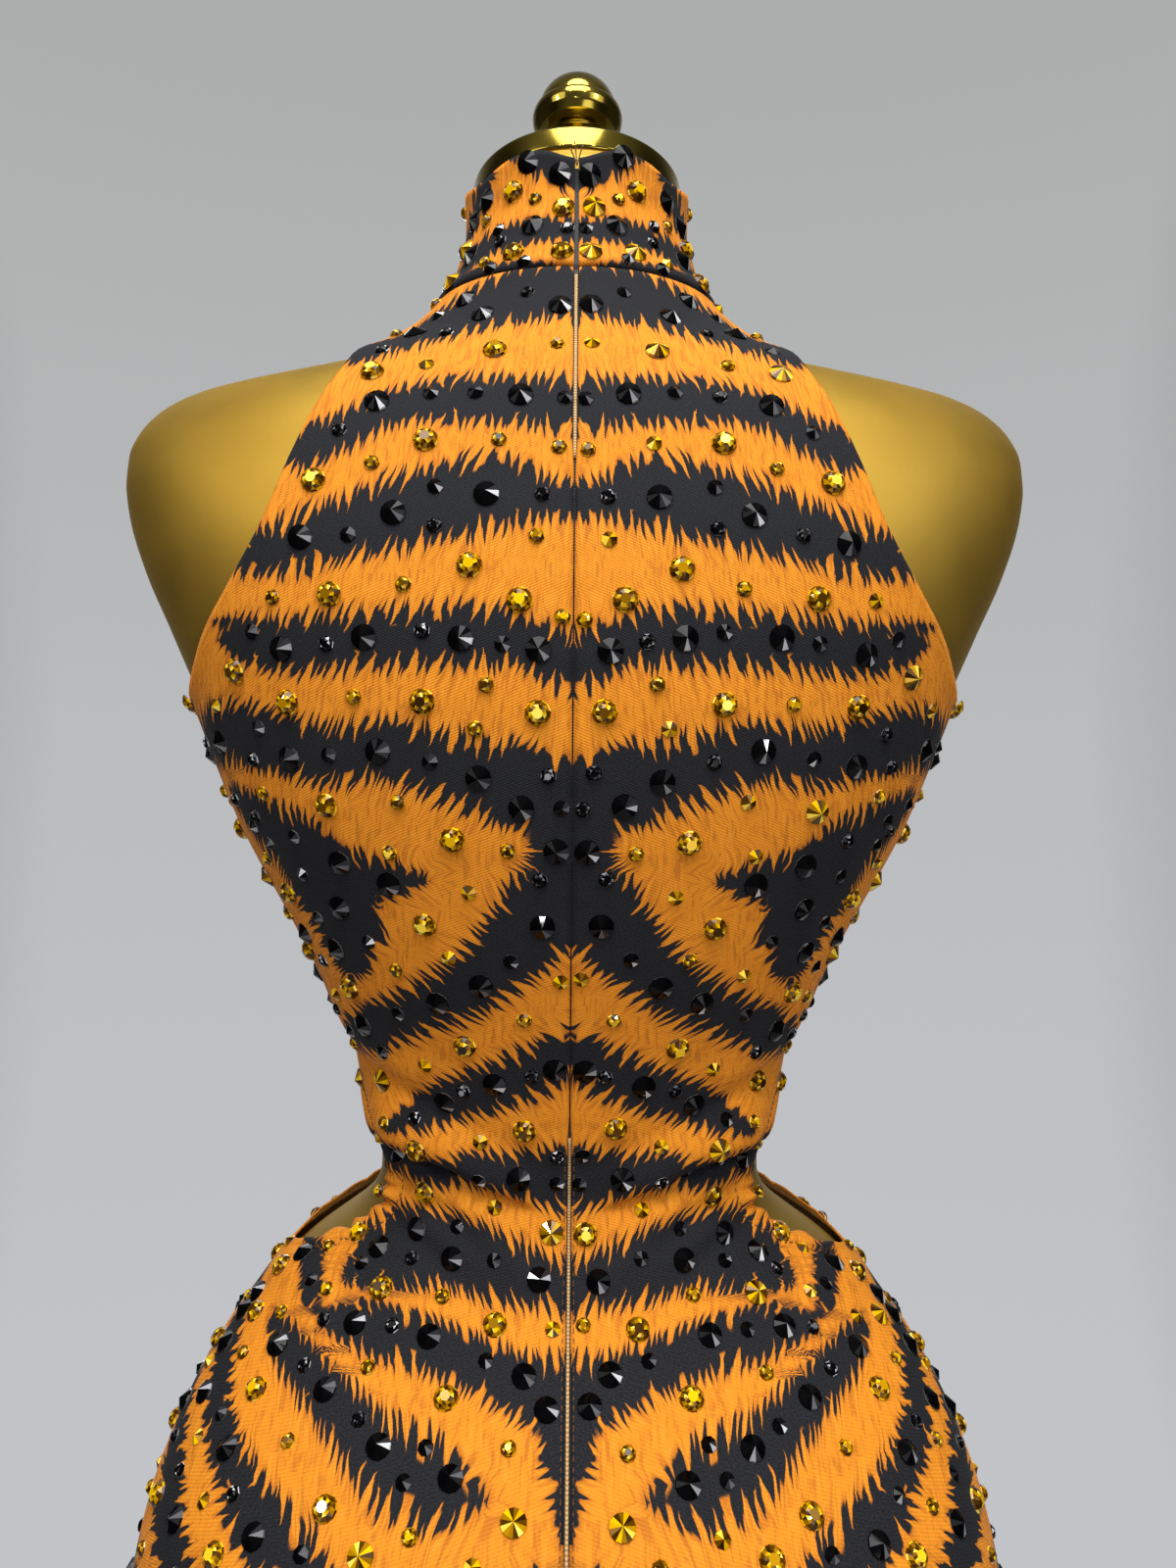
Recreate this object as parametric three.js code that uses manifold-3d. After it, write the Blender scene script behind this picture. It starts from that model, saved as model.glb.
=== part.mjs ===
// A sleeveless high-neck stretch jumpsuit with side waist cutouts, worn by a limbless dress form on a stand.
// Millimetres, +Z up. The garment faces -Y, its back and centre-back zip face +Y; the wearer's left is +X.
// The origin is on the floor, at the centre of the round base plate.
import * as THREE from "three";
import { mergeVertices } from "three/addons/utils/BufferGeometryUtils.js";
import Module from "manifold-3d";

// ---- driving dimensions -------------------------------------------------------------------------
const cloth = 1.2; // stretch jersey wall
const ease = 2.4; // air between the form and the cloth
const edgeLift = 0.8; // the elastic edges of the armholes and cutouts stand off a little more
const seamGap = 0.4; // between two pieces sewn to each other
const touchGap = 0.3; // between hard pieces that bear on each other

const crotchZ = 778; // lowest point of the crotch seam
const seatZ = 838; // where the crotch seam starts to turn under
const hemZ = 52; // ankle hems
const neckSeam = { back: 1427, side: 1429, front: 1398 }; // collar seam heights
const collar = { height: 58, frontHeight: 60, wall: 2.0 };
const ridgeZ = 1411; // where the shoulder strap crosses the shoulder line
const neckFoot = { top: 1442, collarLow: 1424, strapTop: 1418, bottom: 1340 }; // where the neck widens to the shoulders
const underarmZ = 1248; // lowest point of the armhole, at the side seam
const cutout = { top: 1086, bottom: 1003 }; // side waist cutouts, measured at the side seam
const zip = { bottom: 884, halfWidth: 1.6, wall: 1.4, lift: 0.9 };

const neckTop = 1481;
const neckTilt = THREE.MathUtils.degToRad(7); // the neck's top face leans towards the front
const cap = { radius: 48.5, height: 11, edge: 1 };
const knob = { domeRadius: 18.6, domeHeight: 17.3 };
const stumpZ = 690; // underside of the form's thigh stumps
const pole = { radius: 12.5, flangeRadius: 34, flangeHeight: 6 };
const base = { radius: 190, height: 12, edge: 3 };

// ---- tables -------------------------------------------------------------------------------------
// Rows become objects with the named columns.
function table(names, rows) {
  return rows.map((row) => Object.fromEntries(names.map((name, i) => [name, row[i]])));
}

// Horizontal sections of the form, from the neck down to the hips. halfWidth is along X; back, front and
// side are the Y of the centre back, the centre front and the widest line; flat and tip are the exponents
// of the section's curve, for how flat its middle is and how sharp its side.
const figure = table(
  ["z", "halfWidth", "back", "front", "side", "flat", "tip"],
  [
    [1500, 48, 35, -61, -13, 2.0, 0.5],
    [1470, 47.5, 34.2, -61, -13, 2.0, 0.5],
    [1452, 51, 38, -63, -12, 2.0, 0.5],
    [1442, 54, 41, -65, -10, 2.0, 0.52],
    [1434, 58.5, 44, -67, -6, 2.0, 0.55],
    [1426, 63.5, 47.5, -69, -1, 2.0, 0.62],
    [1417, 71.5, 51.5, -72, 5, 2.0, 0.72],
    [1408, 84, 56, -75, 10, 2.0, 0.85],
    [1400, 103, 60, -78, 13, 2.0, 0.95],
    [1394, 127, 63.5, -80, 14, 2.0, 0.95],
    [1389, 150, 66, -82, 14, 2.05, 0.85],
    [1382, 176, 70, -85, 12, 2.1, 0.68],
    [1374, 187.5, 74, -89, 9, 2.2, 0.56],
    [1366, 193.5, 78, -92, 7, 2.3, 0.5],
    [1356, 197, 81.5, -96, 5, 2.4, 0.45],
    [1344, 197.5, 85, -101, 3, 2.5, 0.42],
    [1330, 195.5, 88, -107, 1, 2.6, 0.4],
    [1304, 187, 92.5, -118, 0, 2.6, 0.39],
    [1278, 175, 94, -127, 0, 2.6, 0.39],
    [1250, 163, 92.5, -133, -1, 2.55, 0.4],
    [1225, 153.5, 89, -133, -3, 2.5, 0.4],
    [1200, 144, 84, -128, -6, 2.45, 0.41],
    [1150, 119, 69, -117, -14, 2.35, 0.43],
    [1100, 97, 50, -111, -23, 2.2, 0.455],
    [1075, 91.5, 42.5, -109.5, -28, 2.15, 0.465],
    [1050, 87.5, 36, -109, -32, 2.1, 0.475],
    [1040, 87.5, 35, -109.5, -32, 2.1, 0.475],
    [1031, 90, 36, -110.5, -31, 2.1, 0.475],
    [1023, 97, 37.5, -112, -29, 2.12, 0.47],
    [1015, 108, 40, -113.5, -27, 2.15, 0.465],
    [1007, 120, 43, -115, -24, 2.18, 0.46],
    [1000, 128.5, 46.5, -116, -22, 2.2, 0.455],
    [985, 140, 57, -118, -17, 2.2, 0.455],
    [972, 149.5, 68, -119, -12, 2.22, 0.45],
    [959, 157, 80, -119.5, -8, 2.25, 0.445],
    [945, 163.5, 92, -119, -4, 2.3, 0.435],
    [917, 172.5, 112, -116, 4, 2.35, 0.43],
    [894, 176.5, 122, -112, 7, 2.35, 0.43],
    [870, 178, 127, -107, 9, 2.35, 0.43],
    [838, 177.5, 126, -101, 9, 2.35, 0.43],
    [815, 176, 121, -96, 9, 2.3, 0.44],
    [778, 173, 110, -88, 9, 2.2, 0.455],
  ],
);

// Sections of one leg: the X of its inner and outer sides, its middle and half depth along Y.
const leg = table(
  ["z", "inner", "outer", "middle", "halfDepth"],
  [
    [838, 4.2, 175, 10, 101],
    [778, 4.2, 173, 10, 98],
    [768, 4.4, 172, 10, 96],
    [740, 5.2, 169, 8, 91],
    [700, 7, 165, 6, 84],
    [650, 10, 160, 4, 75],
    [600, 13, 155, 3, 64],
    [540, 17, 149, 3, 52],
    [480, 20, 143, 2, 43],
    [380, 22, 134, 2, 37],
    [250, 30, 124, 2, 31],
    [120, 37, 117, 2, 27],
    [40, 39, 116, 2, 27],
  ],
);

// The armhole edge: its X at a height, on the back and on the front.
const armhole = table(
  ["z", "back", "front"],
  [
    [1248, 162.6, 162.6],
    [1250, 161, 160.5],
    [1254, 157, 152.5],
    [1262, 151, 141],
    [1272, 145, 131],
    [1290, 132, 117],
    [1312, 119, 104],
    [1335, 110, 95],
    [1360, 100, 88],
    [1385, 88, 82],
    [1400, 82, 80],
    [1411, 80, 80],
  ],
);

// The knob's side, from its foot up to the ridge that its dome stands on.
const knobSide = table(
  ["radius", "height"],
  [
    [19, 0],
    [19, 2],
    [14.5, 10],
    [9.5, 20],
    [8, 24.5],
    [9.5, 26.4],
    [13, 29.4],
    [18.5, 32.4],
    [21.2, 36.9],
    [21.4, 39.4],
    [20.6, 42.4],
    [18.6, 42.9],
  ],
);

// How far the cutout's edge stands back from the side seam, as a share of the quarter girth.
const cutoutEdge = table(
  ["z", "back", "front"],
  [
    [1086, 0, 0],
    [1080, 0.1, 0.1],
    [1070, 0.2, 0.2],
    [1055, 0.27, 0.27],
    [1040, 0.3, 0.29],
    [1028, 0.29, 0.27],
    [1016, 0.235, 0.22],
    [1008, 0.14, 0.13],
    [1003, 0, 0],
  ],
);

// Soft folds in the cloth, each a ridge between two points of the half garment: their X and Z, the ridge's
// height and half width. The waist folds drape from the sides towards the centre back and centre front.
const folds = table(
  ["side", "x1", "z1", "x2", "z2", "height", "halfWidth"],
  [
    ["back", 98, 1088, 44, 1052, 5.5, 10],
    ["back", 50, 1054, 14, 1036, 3.6, 8],
    ["back", 90, 1040, 36, 1010, 2.2, 8],
    ["back", 104, 1112, 60, 1086, 2.2, 10],
    ["front", 92, 1088, 30, 1060, 4.5, 12],
    ["front", 84, 1062, 16, 1040, 2.6, 10],
    ["back", 60, 822, 150, 800, 2.5, 12],
    ["front", 24, 815, 140, 838, 3, 12],
  ],
);

// ---- curves through the tables ------------------------------------------------------------------
// A smooth curve through (x, y) points that never overshoots them; x rises along the list.
function curve(xs, ys) {
  const step = xs.slice(1).map((x, i) => x - xs[i]);
  const rise = ys.slice(1).map((y, i) => (y - ys[i]) / step[i]);
  const slope = ys.map((_, i) => {
    if (i === 0) return rise[0];
    if (i === ys.length - 1) return rise[i - 1];
    if (rise[i - 1] * rise[i] <= 0) return 0;
    const before = 2 * step[i] + step[i - 1];
    const after = step[i] + 2 * step[i - 1];
    return (before + after) / (before / rise[i - 1] + after / rise[i]);
  });
  return (x) => {
    const at = THREE.MathUtils.clamp(x, xs[0], xs.at(-1));
    const next = Math.max(1, xs.findIndex((value) => value >= at));
    const i = next - 1;
    const t = (at - xs[i]) / step[i];
    const u = 1 - t;
    return (
      ys[i] * (1 + 2 * t) * u * u +
      slope[i] * step[i] * t * u * u +
      ys[next] * t * t * (3 - 2 * t) -
      slope[next] * step[i] * t * t * u
    );
  };
}

// One curve for each column of a table, over its z column.
function curvesOf(rows) {
  const sorted = [...rows].sort((p, q) => p.z - q.z);
  const zs = sorted.map((row) => row.z);
  const columns = Object.keys(rows[0]).filter((name) => name !== "z");
  return Object.fromEntries(columns.map((name) => [name, curve(zs, sorted.map((row) => row[name]))]));
}

const body = curvesOf(figure);
const limb = curvesOf(leg);
const armEdge = curvesOf(armhole);
const cutEdge = curvesOf(cutoutEdge);

// ---- the figure's surface -----------------------------------------------------------------------
const arcSteps = 28; // chords that a quarter section is measured with

// 0 on the torso, 1 on the legs. Along the centre the crotch seam turns under in a quarter ellipse, and
// away from it the seat and the thigh run into the leg over a longer way.
const thighBlend = { from: 850, to: 725 };

function legShare(z, angle) {
  const turn = THREE.MathUtils.clamp((seatZ - z) / (seatZ - crotchZ), 0, 1);
  const seam = 1 - Math.sqrt(1 - turn * turn);
  const thigh = THREE.MathUtils.smoothstep(thighBlend.from - z, 0, thighBlend.from - thighBlend.to);
  const offCentre = Math.min(1, 2 * Math.sin(angle) ** 2);
  return seam + (thigh - seam) * offCentre;
}

// A point of the half section at height z. angle runs from 0, at the centre back or the inseam, through
// PI / 2, at the side, to PI, at the centre front or the inseam again.
function sectionPoint(z, angle) {
  const onBack = angle <= Math.PI / 2;
  const across = Math.sin(angle);
  const side = body.side(z);
  const reach = (onBack ? body.back(z) : body.front(z)) - side;
  const torsoX = body.halfWidth(z) * across;
  const torsoY = side + reach * Math.max(0, 1 - across ** body.flat(z)) ** body.tip(z);
  const share = legShare(z, angle);
  if (share === 0) return [torsoX, torsoY];
  const middleX = (limb.inner(z) + limb.outer(z)) / 2;
  const legX = middleX - (middleX - limb.inner(z)) * Math.cos(2 * angle);
  const legY = limb.middle(z) + limb.halfDepth(z) * Math.sin(2 * angle);
  return [torsoX + share * (legX - torsoX), torsoY + share * (legY - torsoY)];
}

const sectionCache = new Map();

// The quarter section at height z, on the back or the front, as points with the length run so far.
function quarter(z, isBack) {
  const key = (isBack ? "b" : "f") + z.toFixed(4);
  if (!sectionCache.has(key)) {
    const points = [];
    let run = 0;
    for (let i = 0; i <= arcSteps; i++) {
      const turn = (Math.PI / 2) * (i / arcSteps);
      const [x, y] = sectionPoint(z, isBack ? turn : Math.PI - turn);
      if (i > 0) run += Math.hypot(x - points[i - 1].x, y - points[i - 1].y);
      points.push({ x, y, run });
    }
    sectionCache.set(key, points);
  }
  return sectionCache.get(key);
}

const quarterLength = (z, isBack) => quarter(z, isBack).at(-1).run;

// The figure's point at height z and girth g: 0 at the centre back, 1 at the side, 2 at the centre front.
function figurePoint(z, g) {
  const isBack = g <= 1;
  const points = quarter(z, isBack);
  const wanted = (isBack ? g : 2 - g) * points.at(-1).run;
  const next = Math.max(1, points.findIndex((p) => p.run >= wanted - 1e-9));
  const from = points[next - 1];
  const to = points[next === 0 ? 1 : next];
  const t = (wanted - from.run) / Math.max(to.run - from.run, 1e-9);
  return new THREE.Vector3(from.x + t * (to.x - from.x), from.y + t * (to.y - from.y), z);
}

// The share of the quarter girth at which the section crosses x.
function girthAt(z, x, isBack) {
  const points = quarter(z, isBack);
  const next = points.findIndex((p) => p.x >= x);
  if (next < 0) return 1;
  if (next === 0) return 0;
  const t = (x - points[next - 1].x) / (points[next].x - points[next - 1].x);
  return (points[next - 1].run + t * (points[next].run - points[next - 1].run)) / points.at(-1).run;
}

// The outward normal of the figure. On the centre seam above the crotch it stays in the middle plane.
function figureNormal(z, g) {
  const dz = 1.5;
  const dg = 0.02;
  const below = figurePoint(z - dz, g);
  const above = figurePoint(z + dz, g);
  const up = above.sub(below);
  const onCentre = g < 1e-6 || g > 2 - 1e-6;
  if (onCentre && z >= crotchZ) {
    if (z < crotchZ + 1) return new THREE.Vector3(0, 0, -1);
    const way = g < 1 ? 1 : -1;
    return new THREE.Vector3(0, up.z * way, -up.y * way).normalize();
  }
  const round = figurePoint(z, Math.min(2, g + dg)).sub(figurePoint(z, Math.max(0, g - dg)));
  return up.cross(round).normalize();
}

// The height that folds lift the cloth by, over and above its ease.
function foldLift(point, isBack) {
  let lift = 0;
  for (const fold of folds) {
    if ((fold.side === "back") !== isBack) continue;
    const along = new THREE.Vector2(fold.x2 - fold.x1, fold.z2 - fold.z1);
    const from = new THREE.Vector2(point.x - fold.x1, point.z - fold.z1);
    const t = THREE.MathUtils.clamp(from.dot(along) / along.lengthSq(), 0, 1);
    const off = from.sub(along.clone().multiplyScalar(t)).length() / fold.halfWidth;
    const taper = Math.sin(Math.PI * (0.12 + 0.76 * t));
    lift += fold.height * taper * Math.exp(-off * off);
  }
  return lift;
}

// Long soft folds down the empty part of each leg.
const drape = { from: 660, full: 520, height: 3.2, waves: 4, turn: 0.004 };

function legDrape(z, g) {
  const share = THREE.MathUtils.smoothstep(drape.from - z, 0, drape.from - drape.full);
  return drape.height * share * (1 + Math.cos(Math.PI * drape.waves * g + drape.turn * Math.PI * z));
}

// A point of the cloth of the right-hand (+X) half, at a height off the form.
function clothPoint(z, g, height) {
  const p = figurePoint(z, g);
  const lift = foldLift(p, g <= 1) + legDrape(z, g);
  return p.addScaledVector(figureNormal(z, g), height + lift);
}

// ---- meshes -------------------------------------------------------------------------------------
// A closed mesh from rows of points that run round a loop, with its first and last rows closed flat.
function loopedSolid(rows) {
  const across = rows[0].length;
  const positions = rows.flat().flatMap((p) => [p.x, p.y, p.z]);
  const index = [];
  for (let r = 0; r + 1 < rows.length; r++) {
    for (let c = 0; c < across; c++) {
      const a = r * across + c;
      const b = r * across + ((c + 1) % across);
      index.push(a, b, b + across, a, b + across, a + across);
    }
  }
  const ends = [rows[0], rows.at(-1)];
  ends.forEach((row, end) => {
    const centre = row.reduce((sum, p) => sum.add(p), new THREE.Vector3()).divideScalar(across);
    const hub = positions.length / 3;
    positions.push(centre.x, centre.y, centre.z);
    const start = end === 0 ? 0 : (rows.length - 1) * across;
    for (let c = 0; c < across; c++) {
      const a = start + c;
      const b = start + ((c + 1) % across);
      index.push(...(end === 0 ? [hub, b, a] : [hub, a, b]));
    }
  });
  return closedGeometry(positions, index);
}

// A wall between two grids of points that lie face to face, closed round its edges.
function wallSolid(outer, inner) {
  const down = outer.length;
  const across = outer[0].length;
  const positions = [...outer.flat(), ...inner.flat()].flatMap((p) => [p.x, p.y, p.z]);
  const other = down * across;
  const at = (r, c) => r * across + c;
  const index = [];
  for (let r = 0; r + 1 < down; r++) {
    for (let c = 0; c + 1 < across; c++) {
      const [a, b, d, e] = [at(r, c), at(r, c + 1), at(r + 1, c + 1), at(r + 1, c)];
      index.push(a, b, d, a, d, e);
      index.push(other + a, other + d, other + b, other + a, other + e, other + d);
    }
  }
  const rim = [];
  for (let c = 0; c + 1 < across; c++) rim.push(at(0, c));
  for (let r = 0; r + 1 < down; r++) rim.push(at(r, across - 1));
  for (let c = across - 1; c > 0; c--) rim.push(at(down - 1, c));
  for (let r = down - 1; r > 0; r--) rim.push(at(r, 0));
  rim.forEach((a, i) => {
    const b = rim[(i + 1) % rim.length];
    index.push(a, other + a, other + b, a, other + b, b);
  });
  return closedGeometry(positions, index);
}

// Merges what coincides, drops faces with no area and turns the faces outwards.
function closedGeometry(positions, index) {
  const raw = new THREE.BufferGeometry();
  raw.setAttribute("position", new THREE.Float32BufferAttribute(positions, 3));
  raw.setIndex(index);
  const merged = mergeVertices(raw, 1e-3);
  const place = merged.getAttribute("position");
  const corner = (i) => new THREE.Vector3().fromBufferAttribute(place, i);
  const kept = [];
  let volume = 0;
  for (let i = 0; i < merged.index.count; i += 3) {
    const [a, b, c] = [0, 1, 2].map((k) => merged.index.getX(i + k));
    if (a === b || b === c || c === a) continue;
    kept.push(a, b, c);
    volume += corner(a).dot(corner(b).cross(corner(c)));
  }
  if (volume < 0) kept.reverse();
  merged.setIndex(kept);
  merged.computeVertexNormals();
  return merged;
}

function mirrored(geometry) {
  const copy = geometry.clone().scale(-1, 1, 1);
  copy.setIndex([...copy.index.array].reverse());
  copy.computeVertexNormals();
  return copy;
}

// ---- rows of the garment and the form -----------------------------------------------------------
// Heights from high to low, one step apart within each stretch.
function heights(stops) {
  const list = [stops[0].z];
  for (let i = 1; i < stops.length; i++) {
    const from = stops[i - 1].z;
    const span = from - stops[i].z;
    const count = Math.max(1, Math.round(span / stops[i].step));
    for (let k = 1; k <= count; k++) list.push(from - (span * k) / count);
  }
  return list;
}

// The crotch seam's rows, evenly turned round its quarter ellipse.
const crotchTurns = [22, 42, 60, 77, 90];
const crotchRows = crotchTurns.map(
  (degrees) => seatZ - (seatZ - crotchZ) * Math.sin(THREE.MathUtils.degToRad(degrees)),
);

// Rows close up towards the ends of the armholes and cutouts, where their edges turn level.
const closingRows = (from, step, turns) => turns.map((k) => from + step * k * k);

const shoulderZ = 1385;
const chestZ = 1268;
const waistTop = 1120; // where the waist's hollow begins

const torsoRows = [
  ...heights(
    table(
      ["z", "step"],
      [
        [ridgeZ, 0],
        [shoulderZ, 6.5],
        [neckFoot.bottom, 15],
        [chestZ, 18],
      ],
    ),
  ),
  ...closingRows(underarmZ, 0.6, [5, 4, 3, 2, 1]),
  ...heights(
    table(
      ["z", "step"],
      [
        [underarmZ, 0],
        [waistTop, 32],
        [cutout.top, 17],
      ],
    ),
  ),
  ...closingRows(cutout.top, -0.8, [1, 2, 3]),
  ...heights(
    table(
      ["z", "step"],
      [
        [cutout.top - 16, 0],
        [cutout.bottom + 17, 8.4],
      ],
    ),
  ),
  ...closingRows(cutout.bottom, 1, [3, 2, 1]),
  ...heights(
    table(
      ["z", "step"],
      [
        [cutout.bottom, 0],
        [960, 14],
        [zip.bottom, 25],
        [seatZ, 23],
      ],
    ),
  ),
];
const thighZ = crotchZ - 10;
const stumpTop = stumpZ + 8; // where the form's thigh stumps start to round off
const drapeTop = 640; // where the legs' cloth hangs free of the form
const legRows = heights(
  table(
    ["z", "step"],
    [
      [thighZ, 0],
      [stumpTop, 23],
      [drapeTop, 58],
      [hemZ, 84],
    ],
  ),
);
const garmentRows = [...torsoRows, ...crotchRows, ...legRows];

// The last girth that a panel reaches at height z, before the side seam, the armhole or the cutout.
function panelReach(z, isBack) {
  const column = isBack ? "back" : "front";
  let reach = 1;
  if (z > underarmZ && z < ridgeZ) reach = Math.min(1, girthAt(z, armEdge[column](z), isBack));
  if (z > cutout.bottom && z < cutout.top) reach = 1 - cutEdge[column](z);
  return reach - seamGap / 2 / quarterLength(z, isBack);
}

// ---- the garment's pieces -----------------------------------------------------------------------
const panelColumns = 8;

// The collar seam's height at girth g.
function neckSeamZ(g) {
  const towardsFront = 0.5 - 0.5 * Math.cos(Math.PI * Math.max(0, g - 1));
  const onBack = neckSeam.back + (neckSeam.side - neckSeam.back) * Math.min(1, g);
  return onBack + (neckSeam.front - neckSeam.side) * towardsFront;
}

// Near the neck a panel's rows bend from level to the line of the collar seam.
function bentRow(z, g) {
  const share = THREE.MathUtils.smoothstep(z, neckFoot.bottom, neckSeam.side);
  return z + (neckSeamZ(g) - neckSeam.side) * share;
}

// The half front or half back, from the collar seam to the ankle: rows of girths at each height.
function panel(isBack) {
  const neckRows = [neckSeam.side - seamGap, neckFoot.collarLow, neckFoot.strapTop];
  const rows = [...neckRows, ...garmentRows];
  const grid = (height) =>
    rows.map((z) => {
      const reach = panelReach(Math.min(z, ridgeZ), isBack);
      const length = quarterLength(z, isBack);
      const clear = isBack && z >= zip.bottom ? zip.halfWidth + seamGap / 2 : seamGap / 2;
      const start = z <= crotchZ ? seamGap / 2 / length : clear / length;
      const points = [];
      for (let c = 0; c <= panelColumns; c++) {
        const share = start + ((reach - start) * c) / panelColumns;
        const onSeam = c === 0;
        const g = onSeam ? 0 : share;
        const girth = isBack ? g : 2 - g;
        const lift = c === panelColumns && reach < 0.99 ? edgeLift : 0;
        const p = clothPoint(bentRow(z, girth), girth, height + lift);
        if (onSeam && z > crotchZ - 1) p.x = clear;
        if (onSeam && z <= crotchZ - 1) p.y += (isBack ? seamGap : -seamGap) / 2;
        points.push(p);
      }
      return points;
    });
  return wallSolid(grid(ease + cloth), grid(ease));
}

// The stand-up collar, one band from zip edge to zip edge.
function collarBand() {
  const halfColumns = 2 * panelColumns;
  const levels = 2;
  const grid = (height) => {
    const rows = [];
    for (let r = 0; r <= levels; r++) {
      const row = [];
      for (let c = -halfColumns; c <= halfColumns; c++) {
        const g = 2 - (2 * Math.abs(c)) / halfColumns;
        const low = neckSeamZ(g);
        const tall = THREE.MathUtils.lerp(collar.height, collar.frontHeight, g / 2);
        const p = clothPoint(low + (tall * r) / levels, g, height);
        if (Math.abs(c) === halfColumns) p.x = zip.halfWidth + seamGap / 2;
        if (c < 0) p.x = -p.x;
        row.push(p);
      }
      rows.push(row);
    }
    return rows;
  };
  return wallSolid(grid(ease + collar.wall), grid(ease));
}

// The zip's closed chain and tapes, a strip in the gap between the two backs.
function zipStrip() {
  const belowCollarTop = 2;
  const neckRows = heights(
    table(
      ["z", "step"],
      [
        [neckSeam.back + collar.height - belowCollarTop, 0],
        [neckSeam.back, 9],
      ],
    ),
  );
  const rows = [...neckRows, ...torsoRows.filter((z) => z > zip.bottom), zip.bottom + 1];
  const edge = (x, height) =>
    rows.map((z) => {
      const p = clothPoint(z, 0, height);
      p.x = x;
      return p;
    });
  const grid = (height) => {
    const [left, right] = [edge(-zip.halfWidth, height), edge(zip.halfWidth, height)];
    return rows.map((_, i) => [left[i], right[i]]);
  };
  return wallSolid(grid(zip.lift + zip.wall), grid(zip.lift));
}

// ---- the dress form -----------------------------------------------------------------------------
const formColumns = panelColumns; // chords in a quarter section, in line with the cloth's

// The thigh stumps' lower edges: the share of the section that is left at each height.
const stumpRounding = table(
  ["share", "z"],
  [
    [0.94, stumpZ + 3],
    [0.8, stumpZ],
  ],
);

// One half of the form, run past the middle plane so that the two halves join.
function formHalf() {
  const overlap = -1;
  const neckRows = heights(
    table(
      ["z", "step"],
      [
        [neckTop, 0],
        [neckFoot.top, 16],
        [neckFoot.strapTop, 8],
      ],
    ),
  );
  const stumpRows = heights(
    table(
      ["z", "step"],
      [
        [thighZ, 0],
        [stumpTop, 23],
      ],
    ),
  );
  const bodyRows = [
    ...torsoRows.filter((z) => z > chestZ),
    ...heights(
      table(
        ["z", "step"],
        [
          [chestZ, 0],
          [waistTop, 30],
          [cutout.top - 16, 17],
          [cutout.bottom, 8.4],
        ],
      ),
    ),
    ...torsoRows.filter((z) => z < cutout.bottom),
  ];
  const rows = [...neckRows, ...bodyRows, ...crotchRows, ...stumpRows];
  const ring = (z) => {
    const points = [];
    for (let c = 0; c <= 2 * formColumns; c++) {
      const p = figurePoint(z, c / formColumns);
      const share = THREE.MathUtils.smoothstep(z, neckTop - 14, neckTop);
      p.z += share * Math.tan(neckTilt) * (p.y - body.side(neckTop));
      points.push(p);
    }
    const past = (p) => new THREE.Vector3(z > crotchZ - 1 ? overlap : p.x, p.y, p.z);
    return [past(points[0]), ...points, past(points.at(-1))];
  };
  const rings = rows.map(ring);
  const last = rings.at(-1);
  const centre = last.reduce((sum, p) => sum.add(p), new THREE.Vector3()).divideScalar(last.length);
  for (const { share, z } of stumpRounding) {
    rings.push(last.map((p) => p.clone().sub(centre).multiplyScalar(share).add(centre).setZ(z)));
  }
  return loopedSolid(rings);
}

const wasm = await Module();
wasm.setup();

function solidOf(geometry) {
  return new wasm.Manifold(
    new wasm.Mesh({
      numProp: 3,
      vertProperties: geometry.getAttribute("position").array,
      triVerts: new Uint32Array(geometry.index.array),
    }),
  );
}

function geometryOf(solid) {
  const made = solid.getMesh();
  const geometry = new THREE.BufferGeometry();
  geometry.setAttribute("position", new THREE.BufferAttribute(made.vertProperties, 3));
  geometry.setIndex(new THREE.BufferAttribute(made.triVerts, 1));
  geometry.computeVertexNormals();
  return geometry;
}

function dressForm() {
  const half = formHalf();
  half.deleteAttribute("normal");
  const other = mirrored(half);
  other.deleteAttribute("normal");
  return geometryOf(solidOf(half).add(solidOf(other)));
}

// ---- turned metal pieces ------------------------------------------------------------------------
const roundSteps = 24;

// A solid of revolution about Z from its profile of [radius, height].
function turned(profile, steps = roundSteps) {
  const geometry = new THREE.LatheGeometry(
    profile.map(([radius, height]) => new THREE.Vector2(radius, height)),
    steps,
  );
  return geometry.rotateX(Math.PI / 2);
}

function capDisc() {
  const { radius, height, edge } = cap;
  return turned([
    [0, 0],
    [radius - edge, 0],
    [radius, edge],
    [radius, height - edge],
    [radius - edge, height],
    [0, height],
  ]);
}

function knobBall() {
  const { domeRadius, domeHeight } = knob;
  const profile = [[0, 0], ...knobSide.map(({ radius, height }) => [radius, height])];
  const domeFoot = knobSide.at(-1).height;
  const steps = 5;
  for (let i = 1; i <= steps; i++) {
    const angle = (Math.PI / 2) * (i / steps);
    const radius = i === steps ? 0 : domeRadius * Math.cos(angle);
    profile.push([radius, domeFoot + domeHeight * Math.sin(angle)]);
  }
  return turned(profile, 20);
}

function standPole(from, to) {
  const { radius, flangeRadius, flangeHeight } = pole;
  const bevel = 1.5;
  return turned(
    [
      [0, from],
      [flangeRadius, from],
      [flangeRadius, from + flangeHeight - bevel],
      [flangeRadius - bevel, from + flangeHeight],
      [radius, from + flangeHeight],
      [radius, to - flangeHeight],
      [flangeRadius, to - flangeHeight],
      [flangeRadius, to],
      [0, to],
    ],
    16,
  );
}

function basePlate() {
  const { radius, height, edge } = base;
  return turned(
    [
      [0, 0],
      [radius, 0],
      [radius, height - edge],
      [radius - edge, height],
      [0, height],
    ],
    40,
  );
}

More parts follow.
